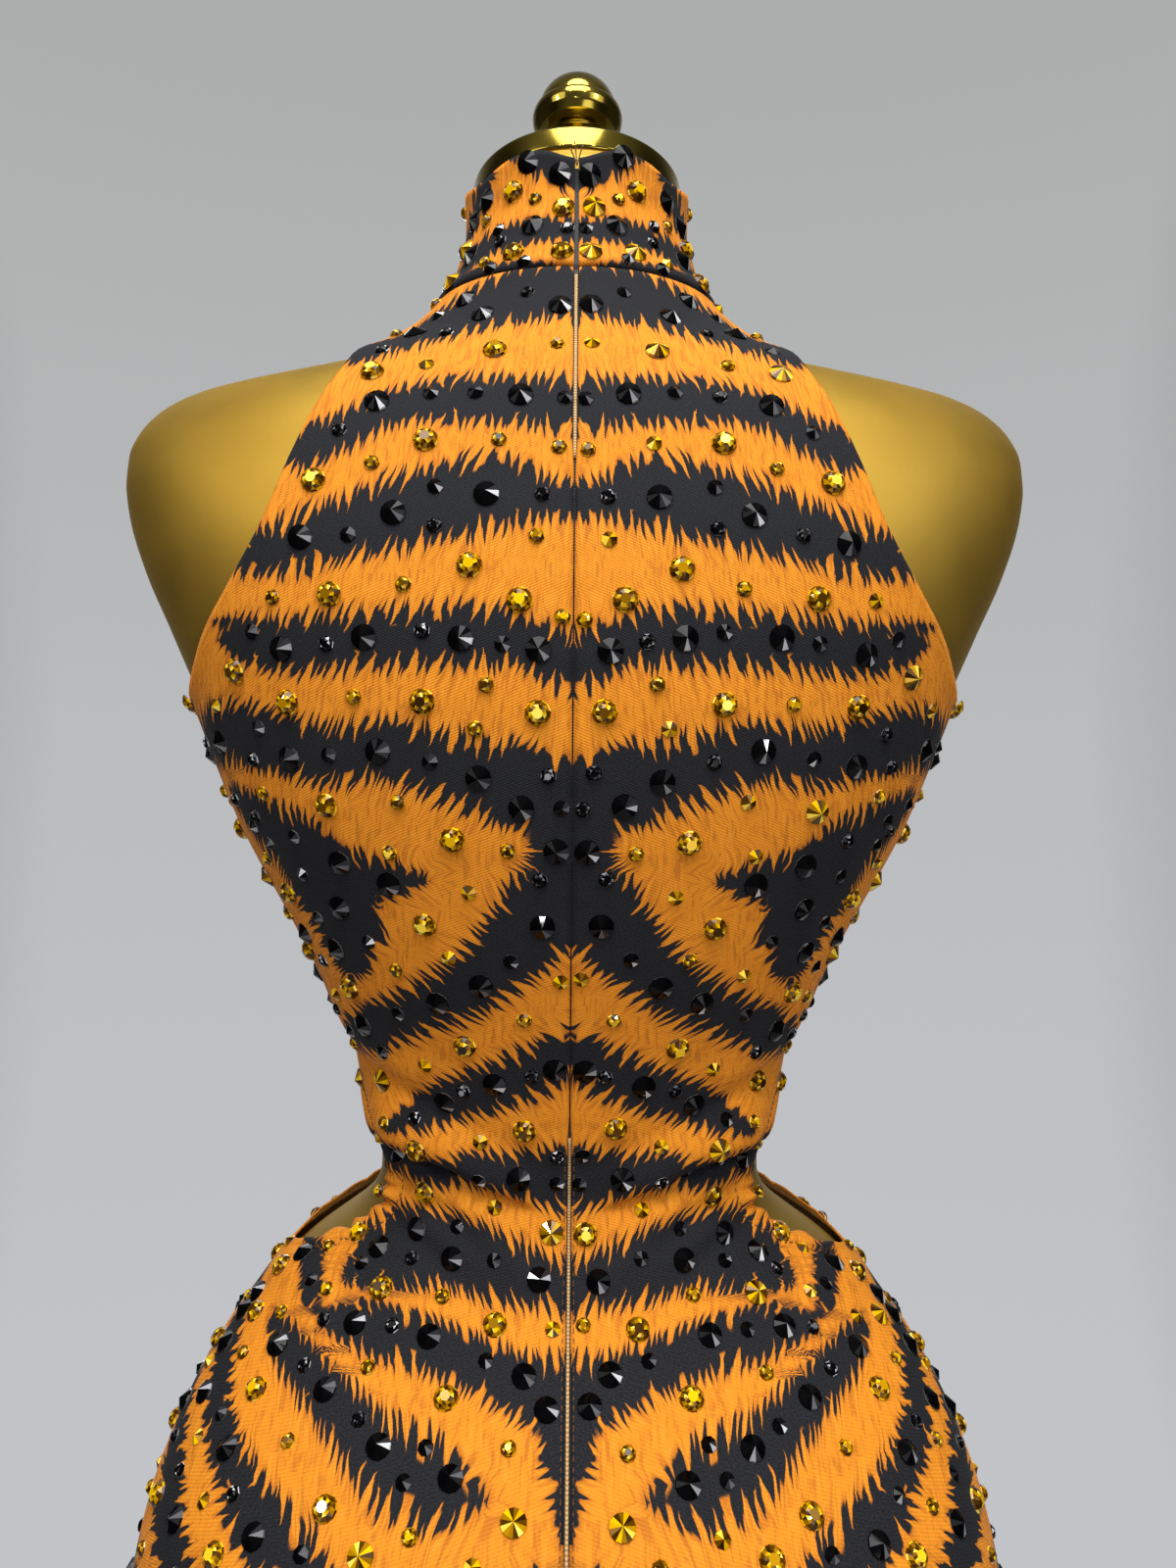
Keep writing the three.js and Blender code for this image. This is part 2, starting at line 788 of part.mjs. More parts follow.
// ---- materials and assembly ---------------------------------------------------------------------
const printedJersey = new THREE.MeshStandardMaterial({ color: 0xe0902a, roughness: 0.8, metalness: 0 });
const blackTape = new THREE.MeshStandardMaterial({ color: 0x2a2a2e, roughness: 0.7, metalness: 0 });
const goldPaint = new THREE.MeshStandardMaterial({ color: 0xb08d35, roughness: 0.35, metalness: 0.8 });
const goldPlate = new THREE.MeshStandardMaterial({ color: 0xc9a43a, roughness: 0.08, metalness: 1 });

const group = new THREE.Group();

function add(name, geometry, material, parent = group) {
  const mesh = new THREE.Mesh(geometry, material);
  mesh.name = name;
  parent.add(mesh);
  return mesh;
}

const backPanel = panel(true);
const frontPanel = panel(false);
add("back_left", backPanel, printedJersey);
add("back_right", mirrored(backPanel), printedJersey);
add("front_left", frontPanel, printedJersey);
add("front_right", mirrored(frontPanel), printedJersey);
add("collar", collarBand(), printedJersey);
add("back_zip", zipStrip(), blackTape);
add("dress_form", dressForm(), goldPaint);

const neckCentreY = body.side(neckTop);
const top = new THREE.Group();
top.position.set(0, neckCentreY, neckTop);
top.rotation.x = neckTilt;
group.add(top);
add("neck_cap", capDisc(), goldPlate, top).position.z = touchGap;
add("neck_knob", knobBall(), goldPlate, top).position.z = cap.height + 2 * touchGap;

const stumpX = (limb.inner(stumpZ) + limb.outer(stumpZ)) / 2;
const poleMesh = add("pole", standPole(base.height + touchGap, stumpZ - touchGap), goldPlate);
poleMesh.position.set(stumpX, limb.middle(stumpZ), 0);
add("base_plate", basePlate(), goldPlate);

export default group;
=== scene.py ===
import math
import random
from collections import defaultdict
from functools import lru_cache
from itertools import product

import bmesh
import bpy
import numpy as np
from mathutils import Matrix, Vector


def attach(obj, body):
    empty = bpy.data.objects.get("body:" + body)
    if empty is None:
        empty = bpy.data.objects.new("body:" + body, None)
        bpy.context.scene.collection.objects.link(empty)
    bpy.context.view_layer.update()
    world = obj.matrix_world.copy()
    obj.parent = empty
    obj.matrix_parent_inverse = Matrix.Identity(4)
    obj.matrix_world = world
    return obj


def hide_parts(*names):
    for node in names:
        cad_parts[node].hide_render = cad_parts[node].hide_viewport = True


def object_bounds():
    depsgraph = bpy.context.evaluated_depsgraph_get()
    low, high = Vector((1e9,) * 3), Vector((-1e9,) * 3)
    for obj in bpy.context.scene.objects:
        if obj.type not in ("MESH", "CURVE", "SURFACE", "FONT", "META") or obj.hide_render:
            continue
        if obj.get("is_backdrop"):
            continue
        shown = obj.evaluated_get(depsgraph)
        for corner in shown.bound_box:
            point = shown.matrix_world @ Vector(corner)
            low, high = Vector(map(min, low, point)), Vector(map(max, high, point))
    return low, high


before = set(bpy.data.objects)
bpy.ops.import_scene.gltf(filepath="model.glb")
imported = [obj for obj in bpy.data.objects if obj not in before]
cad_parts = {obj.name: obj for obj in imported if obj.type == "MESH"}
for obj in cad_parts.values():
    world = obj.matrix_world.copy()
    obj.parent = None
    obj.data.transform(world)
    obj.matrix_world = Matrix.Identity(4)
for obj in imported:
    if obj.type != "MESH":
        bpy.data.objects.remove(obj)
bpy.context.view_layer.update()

# Shapes are worked out in millimetres, as in the model's source, and meshes are made in metres.
mm = 0.001
dice = np.random.default_rng(7)


# ---- the figure under the cloth ----
crotchZ, seatZ, hemZ = 778, 838, 52
ridgeZ, underarmZ = 1411, 1248
cutoutTop, cutoutBottom = 1086, 1003
thighBlend = (850, 725)
neckSeam = {"back": 1427, "side": 1429, "front": 1398}
ease, cloth = 2.4, 1.2
stumpZ = 690

# z, half width, back, front, side, and the two exponents of each section's curve
figure = np.array([
    (1500, 48, 35, -61, -13, 2.0, 0.5),
    (1470, 47.5, 34.2, -61, -13, 2.0, 0.5),
    (1452, 51, 38, -63, -12, 2.0, 0.5),
    (1442, 54, 41, -65, -10, 2.0, 0.52),
    (1434, 58.5, 44, -67, -6, 2.0, 0.55),
    (1426, 63.5, 47.5, -69, -1, 2.0, 0.62),
    (1417, 71.5, 51.5, -72, 5, 2.0, 0.72),
    (1408, 84, 56, -75, 10, 2.0, 0.85),
    (1400, 103, 60, -78, 13, 2.0, 0.95),
    (1394, 127, 63.5, -80, 14, 2.0, 0.95),
    (1389, 150, 66, -82, 14, 2.05, 0.85),
    (1382, 176, 70, -85, 12, 2.1, 0.68),
    (1374, 187.5, 74, -89, 9, 2.2, 0.56),
    (1366, 193.5, 78, -92, 7, 2.3, 0.5),
    (1356, 197, 81.5, -96, 5, 2.4, 0.45),
    (1344, 197.5, 85, -101, 3, 2.5, 0.42),
    (1330, 195.5, 88, -107, 1, 2.6, 0.4),
    (1304, 187, 92.5, -118, 0, 2.6, 0.39),
    (1278, 175, 94, -127, 0, 2.6, 0.39),
    (1250, 163, 92.5, -133, -1, 2.55, 0.4),
    (1225, 153.5, 89, -133, -3, 2.5, 0.4),
    (1200, 144, 84, -128, -6, 2.45, 0.41),
    (1150, 119, 69, -117, -14, 2.35, 0.43),
    (1100, 97, 50, -111, -23, 2.2, 0.455),
    (1075, 91.5, 42.5, -109.5, -28, 2.15, 0.465),
    (1050, 87.5, 36, -109, -32, 2.1, 0.475),
    (1040, 87.5, 35, -109.5, -32, 2.1, 0.475),
    (1031, 90, 36, -110.5, -31, 2.1, 0.475),
    (1023, 97, 37.5, -112, -29, 2.12, 0.47),
    (1015, 108, 40, -113.5, -27, 2.15, 0.465),
    (1007, 120, 43, -115, -24, 2.18, 0.46),
    (1000, 128.5, 46.5, -116, -22, 2.2, 0.455),
    (985, 140, 57, -118, -17, 2.2, 0.455),
    (972, 149.5, 68, -119, -12, 2.22, 0.45),
    (959, 157, 80, -119.5, -8, 2.25, 0.445),
    (945, 163.5, 92, -119, -4, 2.3, 0.435),
    (917, 172.5, 112, -116, 4, 2.35, 0.43),
    (894, 176.5, 122, -112, 7, 2.35, 0.43),
    (870, 178, 127, -107, 9, 2.35, 0.43),
    (838, 177.5, 126, -101, 9, 2.35, 0.43),
    (815, 176, 121, -96, 9, 2.3, 0.44),
    (778, 173, 110, -88, 9, 2.2, 0.455),
])

# z, inner side, outer side, middle, half depth
leg = np.array([
    (838, 4.2, 175, 10, 101),
    (778, 4.2, 173, 10, 98),
    (768, 4.4, 172, 10, 96),
    (740, 5.2, 169, 8, 91),
    (700, 7, 165, 6, 84),
    (650, 10, 160, 4, 75),
    (600, 13, 155, 3, 64),
    (540, 17, 149, 3, 52),
    (480, 20, 143, 2, 43),
    (380, 22, 134, 2, 37),
    (250, 30, 124, 2, 31),
    (120, 37, 117, 2, 27),
    (40, 39, 116, 2, 27),
])

# z, and the armhole edge's X on the back and on the front
armhole = np.array([
    (1248, 162.6, 162.6), (1250, 161, 160.5), (1254, 157, 152.5), (1262, 151, 141), (1272, 145, 131),
    (1290, 132, 117), (1312, 119, 104), (1335, 110, 95), (1360, 100, 88), (1385, 88, 82),
    (1400, 82, 80), (1411, 80, 80),
])

# z, and how far the side cutout's edge stands back from the side seam, as a share of the quarter girth
cutout = np.array([
    (1086, 0, 0), (1080, 0.1, 0.1), (1070, 0.2, 0.2), (1055, 0.27, 0.27), (1040, 0.3, 0.29),
    (1028, 0.29, 0.27), (1016, 0.235, 0.22), (1008, 0.14, 0.13), (1003, 0, 0),
])


def smoothCurve(table, column):
    # a curve through the table's points that never overshoots them
    rows = table[np.argsort(table[:, 0])]
    xs, ys = rows[:, 0], rows[:, column]
    step = np.diff(xs)
    rise = np.diff(ys) / step
    slope = np.zeros(len(xs))
    slope[0], slope[-1] = rise[0], rise[-1]
    for i in range(1, len(xs) - 1):
        if rise[i - 1] * rise[i] > 0:
            before, after = 2 * step[i] + step[i - 1], step[i] + 2 * step[i - 1]
            slope[i] = (before + after) / (before / rise[i - 1] + after / rise[i])

    def at(x):
        x = np.clip(x, xs[0], xs[-1])
        i = np.clip(np.searchsorted(xs, x) - 1, 0, len(xs) - 2)
        t = (x - xs[i]) / step[i]
        u = 1 - t
        return (ys[i] * (1 + 2 * t) * u * u + slope[i] * step[i] * t * u * u
                + ys[i + 1] * t * t * (3 - 2 * t) - slope[i + 1] * step[i] * t * t * u)

    return at


halfWidth, backY, frontY, sideY, flatness, tipness = [smoothCurve(figure, i) for i in range(1, 7)]
legInner, legOuter, legMiddle, legDepth = [smoothCurve(leg, i) for i in range(1, 5)]
armBack, armFront = [smoothCurve(armhole, i) for i in (1, 2)]
cutBack, cutFront = [smoothCurve(cutout, i) for i in (1, 2)]


def smoothStep(x, low, high):
    t = np.clip((x - low) / (high - low), 0, 1)
    return t * t * (3 - 2 * t)


def sectionPoints(z, angle):
    # the half section: angle 0 at the centre back or inseam, pi at the centre front or inseam again
    across = np.sin(angle)
    side = sideY(z)
    reach = np.where(angle <= math.pi / 2, backY(z), frontY(z)) - side
    torsoX = halfWidth(z) * across
    torsoY = side + reach * np.maximum(0, 1 - across ** flatness(z)) ** tipness(z)
    turn = np.clip((seatZ - z) / (seatZ - crotchZ), 0, 1)
    seam = 1 - math.sqrt(1 - turn * turn)
    thigh = smoothStep(thighBlend[0] - z, 0, thighBlend[0] - thighBlend[1])
    share = seam + (thigh - seam) * np.minimum(1, 2 * across ** 2)
    middleX = (legInner(z) + legOuter(z)) / 2
    legX = middleX - (middleX - legInner(z)) * np.cos(2 * angle)
    legY = legMiddle(z) + legDepth(z) * np.sin(2 * angle)
    return torsoX + share * (legX - torsoX), torsoY + share * (legY - torsoY)


@lru_cache(None)
def quarter(z, isBack):
    angle = np.linspace(0, math.pi / 2, 97)
    x, y = sectionPoints(z, angle if isBack else math.pi - angle)
    run = np.concatenate([[0], np.cumsum(np.hypot(np.diff(x), np.diff(y)))])
    return x, y, run


def figureRow(z, girth, isBack):
    # points at one height; girth is 0 at the centre back, 1 at the side and 2 at the centre front
    x, y, run = quarter(round(float(z), 2), isBack)
    wanted = (girth if isBack else 2 - girth) * run[-1]
    return np.stack([np.interp(wanted, run, x), np.interp(wanted, run, y)], axis=-1)


def quarterLength(z, isBack):
    return quarter(round(float(z), 2), isBack)[2][-1]


def girthAtX(z, x, isBack):
    xs, _, run = quarter(round(float(z), 2), isBack)
    return 1 if x >= xs[-1] else float(np.interp(x, xs, run) / run[-1])


# ---- mesh helpers ----
def gridFaces(rows, columns, closed=False):
    r, c = np.meshgrid(np.arange(rows - 1), np.arange(columns if closed else columns - 1), indexing="ij")
    a, b = r * columns + c, r * columns + (c + 1) % columns
    return np.stack([a, b, b + columns, a + columns], axis=-1).reshape(-1, 4)


def tubeFaces(rows, columns):
    # a closed tube of rings with a flat cap at each end
    caps = [list(range(columns)), [rows * columns - 1 - k for k in range(columns)]]
    return gridFaces(rows, columns, closed=True).tolist() + caps


def meshObject(name, points, faces, materials, merge=None, smooth=True):
    # merge is the distance in metres below which points become one, on a closed piece
    mesh = bpy.data.meshes.new(name)
    mesh.from_pydata((np.asarray(points) * mm).tolist(), [], [list(map(int, f)) for f in faces])
    mesh.validate()
    if merge:
        work = bmesh.new()
        work.from_mesh(mesh)
        bmesh.ops.remove_doubles(work, verts=work.verts, dist=merge)
        bmesh.ops.recalc_face_normals(work, faces=work.faces)
        work.to_mesh(mesh)
        work.free()
    if smooth:
        mesh.polygons.foreach_set("use_smooth", np.ones(len(mesh.polygons), dtype=bool))
    for material in materials:
        mesh.materials.append(material)
    thing = bpy.data.objects.new(name, mesh)
    bpy.context.scene.collection.objects.link(thing)
    return thing


def storeValues(thing, name, domain, values):
    layer = thing.data.attributes.new(name, "FLOAT", domain)
    layer.data.foreach_set("value", np.asarray(values, dtype=np.float32).ravel())


def unit(vectors):
    return vectors / np.maximum(np.linalg.norm(vectors, axis=-1, keepdims=True), 1e-9)


def onBody(thing, slotName, *nodes):
    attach(thing, "root")
    if nodes:
        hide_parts(*nodes)
    return thing


# ---- materials ----
class Value:
    # an output in a shader tree, which adds and multiplies like a number
    def __init__(self, tree, socket):
        self.tree, self.socket = tree, socket

    def maths(self, operation, *others):
        return node(self.tree, "ShaderNodeMath", {"operation": operation}, self, *others)


for sign, operation in {"add": "ADD", "sub": "SUBTRACT", "mul": "MULTIPLY", "truediv": "DIVIDE"}.items():
    setattr(Value, f"__{sign}__", lambda self, other, operation=operation: self.maths(operation, other))


def plug(tree, socket, value):
    # a shader value is linked; a number or a colour is set
    if isinstance(value, Value):
        tree.links.new(value.socket, socket)
    else:
        socket.default_value = (*value, 1) if isinstance(value, tuple) else value


def setInputs(shader, inputs):
    for name, value in inputs.items():
        plug(shader.id_data, shader.inputs[name], value)


def node(tree, kind, settings=None, *values, out=0, **named):
    made = tree.nodes.new(kind)
    for key, value in (settings or {}).items():
        setattr(made, key, value)
    for key, value in [*enumerate(values), *named.items()]:
        plug(tree, made.inputs[key], value)
    return Value(tree, made.outputs[out])


def newMaterial(name, colour, roughness, metallic=0.0):
    material = bpy.data.materials.new(name)
    material.use_nodes = True
    shader = material.node_tree.nodes["Principled BSDF"]
    setInputs(shader, {"Base Color": colour, "Roughness": roughness, "Metallic": metallic})
    return material, material.node_tree, shader


def combine(x, y, z=0.0):
    return node(x.tree, "ShaderNodeCombineXYZ", None, x, y, z)


def attribute(tree, name):
    return node(tree, "ShaderNodeAttribute", {"attribute_name": name}, out="Fac")


def objectPlace(tree):
    return node(tree, "ShaderNodeTexCoord", out="Object")


def noiseAt(vector, scale, detail=2.0, roughness=0.5):
    return node(vector.tree, "ShaderNodeTexNoise", Vector=vector, Scale=scale, Detail=detail,
                Roughness=roughness, out="Fac")


def ramp(factor, *stops):
    # each stop is a place and a colour, or one number for a grey
    made = factor.tree.nodes.new("ShaderNodeValToRGB")
    elements = made.color_ramp.elements
    while len(elements) < len(stops):
        elements.new(0.5)
    for element, (place, colour) in zip(elements, stops):
        element.position = place
        element.color = (*(colour if isinstance(colour, tuple) else [colour] * 3), 1)
    plug(factor.tree, made.inputs[0], factor)
    return Value(factor.tree, made.outputs[0])


def mixColour(factor, first, second, blend="MIX"):
    made = first.tree.nodes.new("ShaderNodeMix")
    made.data_type, made.blend_type = "RGBA", blend
    for index, value in ((0, factor), (6, first), (7, second)):
        plug(first.tree, made.inputs[index], value)
    return Value(first.tree, made.outputs[2])


def bump(shader, height, strength, distance):
    lifted = node(height.tree, "ShaderNodeBump", Strength=strength, Distance=distance, Height=height)
    setInputs(shader, {"Normal": lifted})


printTones = {
    "charcoal": (0.0066, 0.0069, 0.0092),
    "darkGrain": (0.021, 0.0216, 0.0255),
    "rootBrown": (0.1, 0.04, 0.014),
    "burntOrange": (0.5, 0.15, 0.012),
    "orange": (0.74, 0.25, 0.014),
    "paleOrange": (0.82, 0.33, 0.03),
}
hairs = {"coarse": (3.3, 14.0), "fine": (1.4, 5.0), "hairLength": 14.0, "darkHair": 0.8, "paleHair": 0.6}
twillPitch, twillSlope = 1.05, 0.62
deepestBite = 6.5


def furTeeth(leaned, branch, pitch, reach):
    # a row of sharp teeth with random gaps; above 0 the orange bites into the dark
    cells = node(leaned.tree, "ShaderNodeTexVoronoi", {"feature": "F1", "voronoi_dimensions": "1D"},
                 W=leaned / pitch + branch * 13.7, Scale=1.0, Randomness=0.88, out="Distance")
    return (cells - 0.27) * reach


def printedJersey():
    # stripe is mm to the nearest stripe's edge; leaned and branch place the fur teeth on the edges
    material, tree, shader = newMaterial("printedJersey", printTones["orange"], 0.78)
    stripe, leaned, branch, bite, clear, across, height = [attribute(tree, name) for name in (
        "stripe", "leaned", "branch", "bite", "clear", "across", "height")]

    wobble = noiseAt(combine(across / 13.0, height / 13.0), 1.0)
    place = leaned + (wobble - 0.5) * 3.0
    # tufts of teeth lean each their own way
    tuft = noiseAt(combine(leaned / 7.0, branch * 3.1), 1.0, 1.0)
    place = place + stripe * ((tuft - 0.5) * 1.5)
    teeth = furTeeth(place, branch, *hairs["coarse"]) + furTeeth(place, branch, *hairs["fine"])
    teeth = teeth * (tuft * 1.3 + 0.35)
    teeth = (teeth * (bite / deepestBite)).maths("MINIMUM", bite)
    edgeShare = (stripe + (teeth - 0.8)) / 16.0 + 0.5
    tone = ramp(edgeShare, (0.475, printTones["charcoal"]), (0.505, printTones["rootBrown"]),
                (0.54, printTones["burntOrange"]), (0.69, printTones["orange"]), (1.0, printTones["orange"]))

    # thin hairs follow the teeth; only at the parting midway between stripes they run down the body
    isOrange = ramp(edgeShare, (0.52, 0), (0.6, 1))
    edgeHair = noiseAt(combine(place, stripe / hairs["hairLength"], branch), 1.0, 3.0, 0.6)
    bodyHair = noiseAt(combine(across, height / 11.0), 1.0, 3.0, 0.6)
    hair = mixColour(clear * clear, bodyHair, edgeHair)
    darkHair = ramp(hair, (0.5, 0), (0.6, 1)) * isOrange * hairs["darkHair"]
    tone = mixColour(darkHair, tone, printTones["burntOrange"])
    paleHair = ramp(hair, (0.3, 1), (0.45, 0)) * isOrange * hairs["paleHair"]
    tone = mixColour(paleHair, tone, printTones["paleOrange"])

    # the twill face of the knit
    twill = ((across * twillSlope + height) * (2 * math.pi / twillPitch)).maths("SINE")
    grain = noiseAt(combine(across, height), 2.4)
    knit = twill * 0.5 + grain
    isDark = ramp(edgeShare, (0.46, 1), (0.49, 0))
    speckle = ramp(grain, (0.36, 0), (0.7, 1))
    tone = mixColour(speckle * isDark, tone, printTones["darkGrain"])
    knitTone = ramp(knit * 0.5 + 0.25, (0.0, 0.82), (1.0, 1.1))
    tone = mixColour(1.0, tone, knitTone, "MULTIPLY")
    setInputs(shader, {"Base Color": tone, "Sheen Weight": 0.04, "Sheen Roughness": 0.4,
                       "Specular IOR Level": 0.16})
    bump(shader, knit, 0.35, 0.0003)
    return material


def plainJersey():
    # the unprinted inside of the cloth
    material, tree, shader = newMaterial("jerseyInside", (0.62, 0.42, 0.24), 0.85)
    grain = noiseAt(objectPlace(tree), 900.0)
    setInputs(shader, {"Base Color": ramp(grain, (0.3, (0.5, 0.32, 0.17)), (0.7, (0.68, 0.46, 0.27)))})
    bump(shader, grain, 0.3, 0.0002)
    return material


def goldPaint():
    material, tree, shader = newMaterial("goldPaint", (0.4, 0.24, 0.033), 0.54, 0.9)
    place = objectPlace(tree)
    tone = ramp(noiseAt(place, 9.0, 3.0), (0.35, (0.36, 0.215, 0.025)), (0.65, (0.42, 0.262, 0.037)))
    satin = ramp(noiseAt(place, 30.0, 4.0), (0.3, 0.5), (0.7, 0.58))
    setInputs(shader, {"Base Color": tone, "Roughness": satin})
    bump(shader, noiseAt(place, 320.0), 0.12, 0.0004)
    return material


def goldPlate():
    material, tree, shader = newMaterial("goldPlate", (0.3, 0.22, 0.034), 0.1, 1.0)
    place = objectPlace(tree)
    setInputs(shader, {"Roughness": ramp(noiseAt(place, 24.0, 4.0), (0.35, 0.07), (0.75, 0.2))})
    bump(shader, noiseAt(place, 60.0), 0.04, 0.0006)
    return material


def stoneMaterial(name, stops, metallic, roughness, specular):
    # each facet has its own painted brightness, standing for glints and reflections, so a stone glitters from
    # any side
    material, tree, shader = newMaterial(name, stops[0][1], roughness, metallic)
    setInputs(shader, {"Base Color": ramp(attribute(tree, "facet"), *stops), "Specular IOR Level": specular,
                       "Coat Weight": specular, "Coat Roughness": 0.02, "Coat IOR": 1.5})
    return material


def threadMaterial(name, dark, light):
    material, tree, shader = newMaterial(name, light, 0.7)
    along = node(tree, "ShaderNodeSeparateXYZ", None, objectPlace(tree), out=2)
    twist = (along * 5200.0).maths("SINE") * 0.5 + 0.5
    setInputs(shader, {"Base Color": ramp(twist, (0.0, dark), (1.0, light))})
    bump(shader, twist, 0.4, 0.0002)
    return material


jersey, jerseyInside, gold, plate = printedJersey(), plainJersey(), goldPaint(), goldPlate()
cordThread = threadMaterial("zipCord", (0.3, 0.16, 0.05), (0.62, 0.4, 0.17))
brownThread = threadMaterial("brownThread", (0.06, 0.022, 0.01), (0.2, 0.08, 0.03))
darkTape = threadMaterial("zipTape", (0.012, 0.012, 0.014), (0.035, 0.033, 0.035))
stoneTones = {
    # each ramp gives a facet's painted light over the stone's own black or amber: the low stops are painted
    # shade, the top stops painted glints and reflections
    "black": stoneMaterial("blackStone", [
        (0.0, (0.0008, 0.0008, 0.001)), (0.82, (0.002, 0.002, 0.0025)), (0.9, (0.03, 0.03, 0.034)),
        (0.93, (0.11, 0.11, 0.118)), (1.0, (0.6, 0.6, 0.62)),
    ], 0.0, 0.04, 0.08),
    "amber": stoneMaterial("amberStone", [
        (0.0, (0.02, 0.006, 0.0)), (0.35, (0.11, 0.045, 0.0)), (0.6, (0.46, 0.22, 0.0)),
        (0.85, (0.95, 0.56, 0.0)), (0.97, (1.0, 0.82, 0.12)),
    ], 0.05, 0.06, 0.16),
}
stoneRim = newMaterial("stoneRim", (0.5, 0.47, 0.42), 0.16, 0.6)[0]
print("materials")


# ---- the tiger print's chart ----
# Each stripe is a line of points: distance round from the centre back, height, half width.
backStripes = [
    [(0, 1413, 14), (13, 1414, 14), (34, 1410, 14), (56, 1403, 13), (72, 1394, 9.5), (86, 1385, 6),
     (95, 1379, 1.5)],
    [(0, 1357, 11), (15, 1358, 9), (44, 1359, 8.5), (68, 1356.5, 6.5), (86, 1348, 6.5), (104, 1340, 7.5)],
    [(0, 1318, 6), (14, 1319, 7.5), (30, 1321, 13), (56, 1315.5, 13), (88, 1307, 10.5),
     (108, 1302, 9), (126, 1299, 6)],
    [(0, 1257, 9), (16, 1264, 7.5), (38, 1267, 9.5), (76, 1266, 9), (110, 1265, 8.5),
     (130, 1269, 7), (141, 1274, 2)],
    [(200, 1224, 9), (164, 1232, 10.5), (138, 1233, 11), (94, 1224, 9.5), (72, 1225.5, 9.5),
     (54, 1221, 10.5), (34, 1215, 12), (14, 1210, 15), (0, 1202, 15)],
    [(0, 1205, 14), (0, 1176, 17), (9, 1166, 16.5), (18, 1155, 14), (38, 1136, 11), (62, 1123, 9.5),
     (84, 1114, 9.5), (102, 1107, 8), (115, 1101, 3)],
    [(150, 1209, 5), (130, 1197, 10.5), (114, 1188, 14), (102, 1174, 18), (93, 1157, 16.5),
     (94, 1140, 6)],
    [(100, 1178, 13), (76, 1176, 8), (58, 1177, 2)],
    [(196, 1196, 4), (172, 1172, 9), (152, 1146, 9), (136, 1124, 8), (124, 1108, 3)],
    [(0, 1108, 8), (9, 1102, 9), (29, 1092, 9), (48, 1085, 8), (66, 1077, 5), (75, 1072, 1.5)],
    [(0, 1052, 13), (16, 1054, 9), (38, 1055, 7.5), (60, 1053, 7), (80, 1056, 8), (94, 1055, 9)],
    [(0, 1009, 9), (12, 1011, 8), (26, 1014, 11), (50, 1020, 12.5), (74, 1016, 12.5), (89, 1009, 7),
     (95, 1005, 2)],
    [(0, 974, 11), (16, 977, 7.5), (36, 983, 6.5), (57, 988, 7), (86, 991, 7), (101, 990, 2)],
    [(0, 969, 10), (0, 955, 6.5), (0, 946, 3.5), (0, 939, 1)],
    [(133, 986, 1), (122, 981, 5.5), (109, 976, 6), (96, 970, 7), (82, 963, 7.5), (72, 957, 8.5),
     (58, 953, 10), (45, 950, 7.5), (30, 949, 1)],
    [(129, 1008, 2), (116, 1004, 4.5), (112, 998, 5), (105, 992, 1.5)],
    [(174, 1000, 4), (165, 986, 7), (160, 970, 8), (152, 958, 7.5), (142, 950, 6.5), (131, 943, 7),
     (120, 936, 8.5), (104, 929, 9), (88, 921, 7), (70, 912, 2)],
    [(198, 966, 5), (190, 950, 8.5), (178, 934, 10.5), (163, 918, 10.5), (144, 904, 9),
     (120, 893, 7), (100, 888, 2)],
    [(0, 920, 10), (16, 920, 7), (34, 914, 1)],
    [(0, 893, 8), (22, 896, 8.5), (50, 896, 8), (78, 890, 5), (92, 884, 1)],
    [(0, 857, 9), (30, 861, 9.5), (64, 866, 9), (96, 862, 7), (120, 852, 2)],
    [(236, 905, 8), (206, 892, 10), (176, 878, 10), (148, 862, 7), (128, 846, 2)],
]
frontStripes = [
    [(0, 1378, 8), (26, 1381, 9), (58, 1372, 7), (84, 1364, 2)],
    [(0, 1335, 9), (28, 1342, 9), (60, 1340, 8), (92, 1330, 5)],
    [(0, 1290, 7), (26, 1298, 10), (62, 1296, 9), (98, 1284, 8), (112, 1280, 7)],
    [(0, 1246, 12), (32, 1254, 9), (70, 1250, 9), (112, 1240, 9), (150, 1232, 6), (172, 1228, 1)],
    [(250, 1222, 8), (218, 1214, 10), (184, 1206, 9), (140, 1208, 8), (100, 1204, 8), (70, 1192, 3)],
    [(0, 1206, 11), (22, 1196, 10), (48, 1180, 9), (84, 1168, 9), (122, 1166, 6), (146, 1168, 1)],
    [(230, 1180, 5), (204, 1166, 9), (172, 1150, 9), (140, 1136, 7), (118, 1128, 1)],
    [(0, 1146, 9), (28, 1136, 9), (62, 1122, 8), (94, 1108, 6), (112, 1098, 1)],
    [(172, 1116, 7), (146, 1104, 8), (122, 1092, 7), (100, 1076, 5), (84, 1066, 1)],
    [(0, 1096, 8), (24, 1086, 8), (52, 1076, 6), (74, 1062, 1)],
    [(0, 1048, 10), (30, 1044, 8), (62, 1040, 7), (96, 1034, 5)],
    [(0, 1004, 8), (28, 1010, 9), (60, 1012, 9), (94, 1004, 6), (116, 998, 1)],
    [(0, 962, 11), (30, 970, 8), (66, 976, 8), (104, 974, 8), (140, 984, 5), (156, 990, 1)],
    [(196, 972, 8), (170, 956, 9), (142, 944, 10), (112, 938, 8), (84, 934, 2)],
    [(0, 924, 7), (26, 930, 10), (58, 928, 8), (82, 918, 1)],
    [(224, 930, 7), (194, 916, 10), (160, 902, 9), (126, 894, 8), (98, 892, 1)],
    [(0, 884, 10), (34, 888, 9), (70, 876, 9), (104, 858, 6), (126, 848, 1)],
    [(236, 888, 8), (204, 872, 10), (170, 856, 9), (142, 838, 2)],
    [(0, 842, 7), (30, 842, 9), (58, 832, 2)],
]
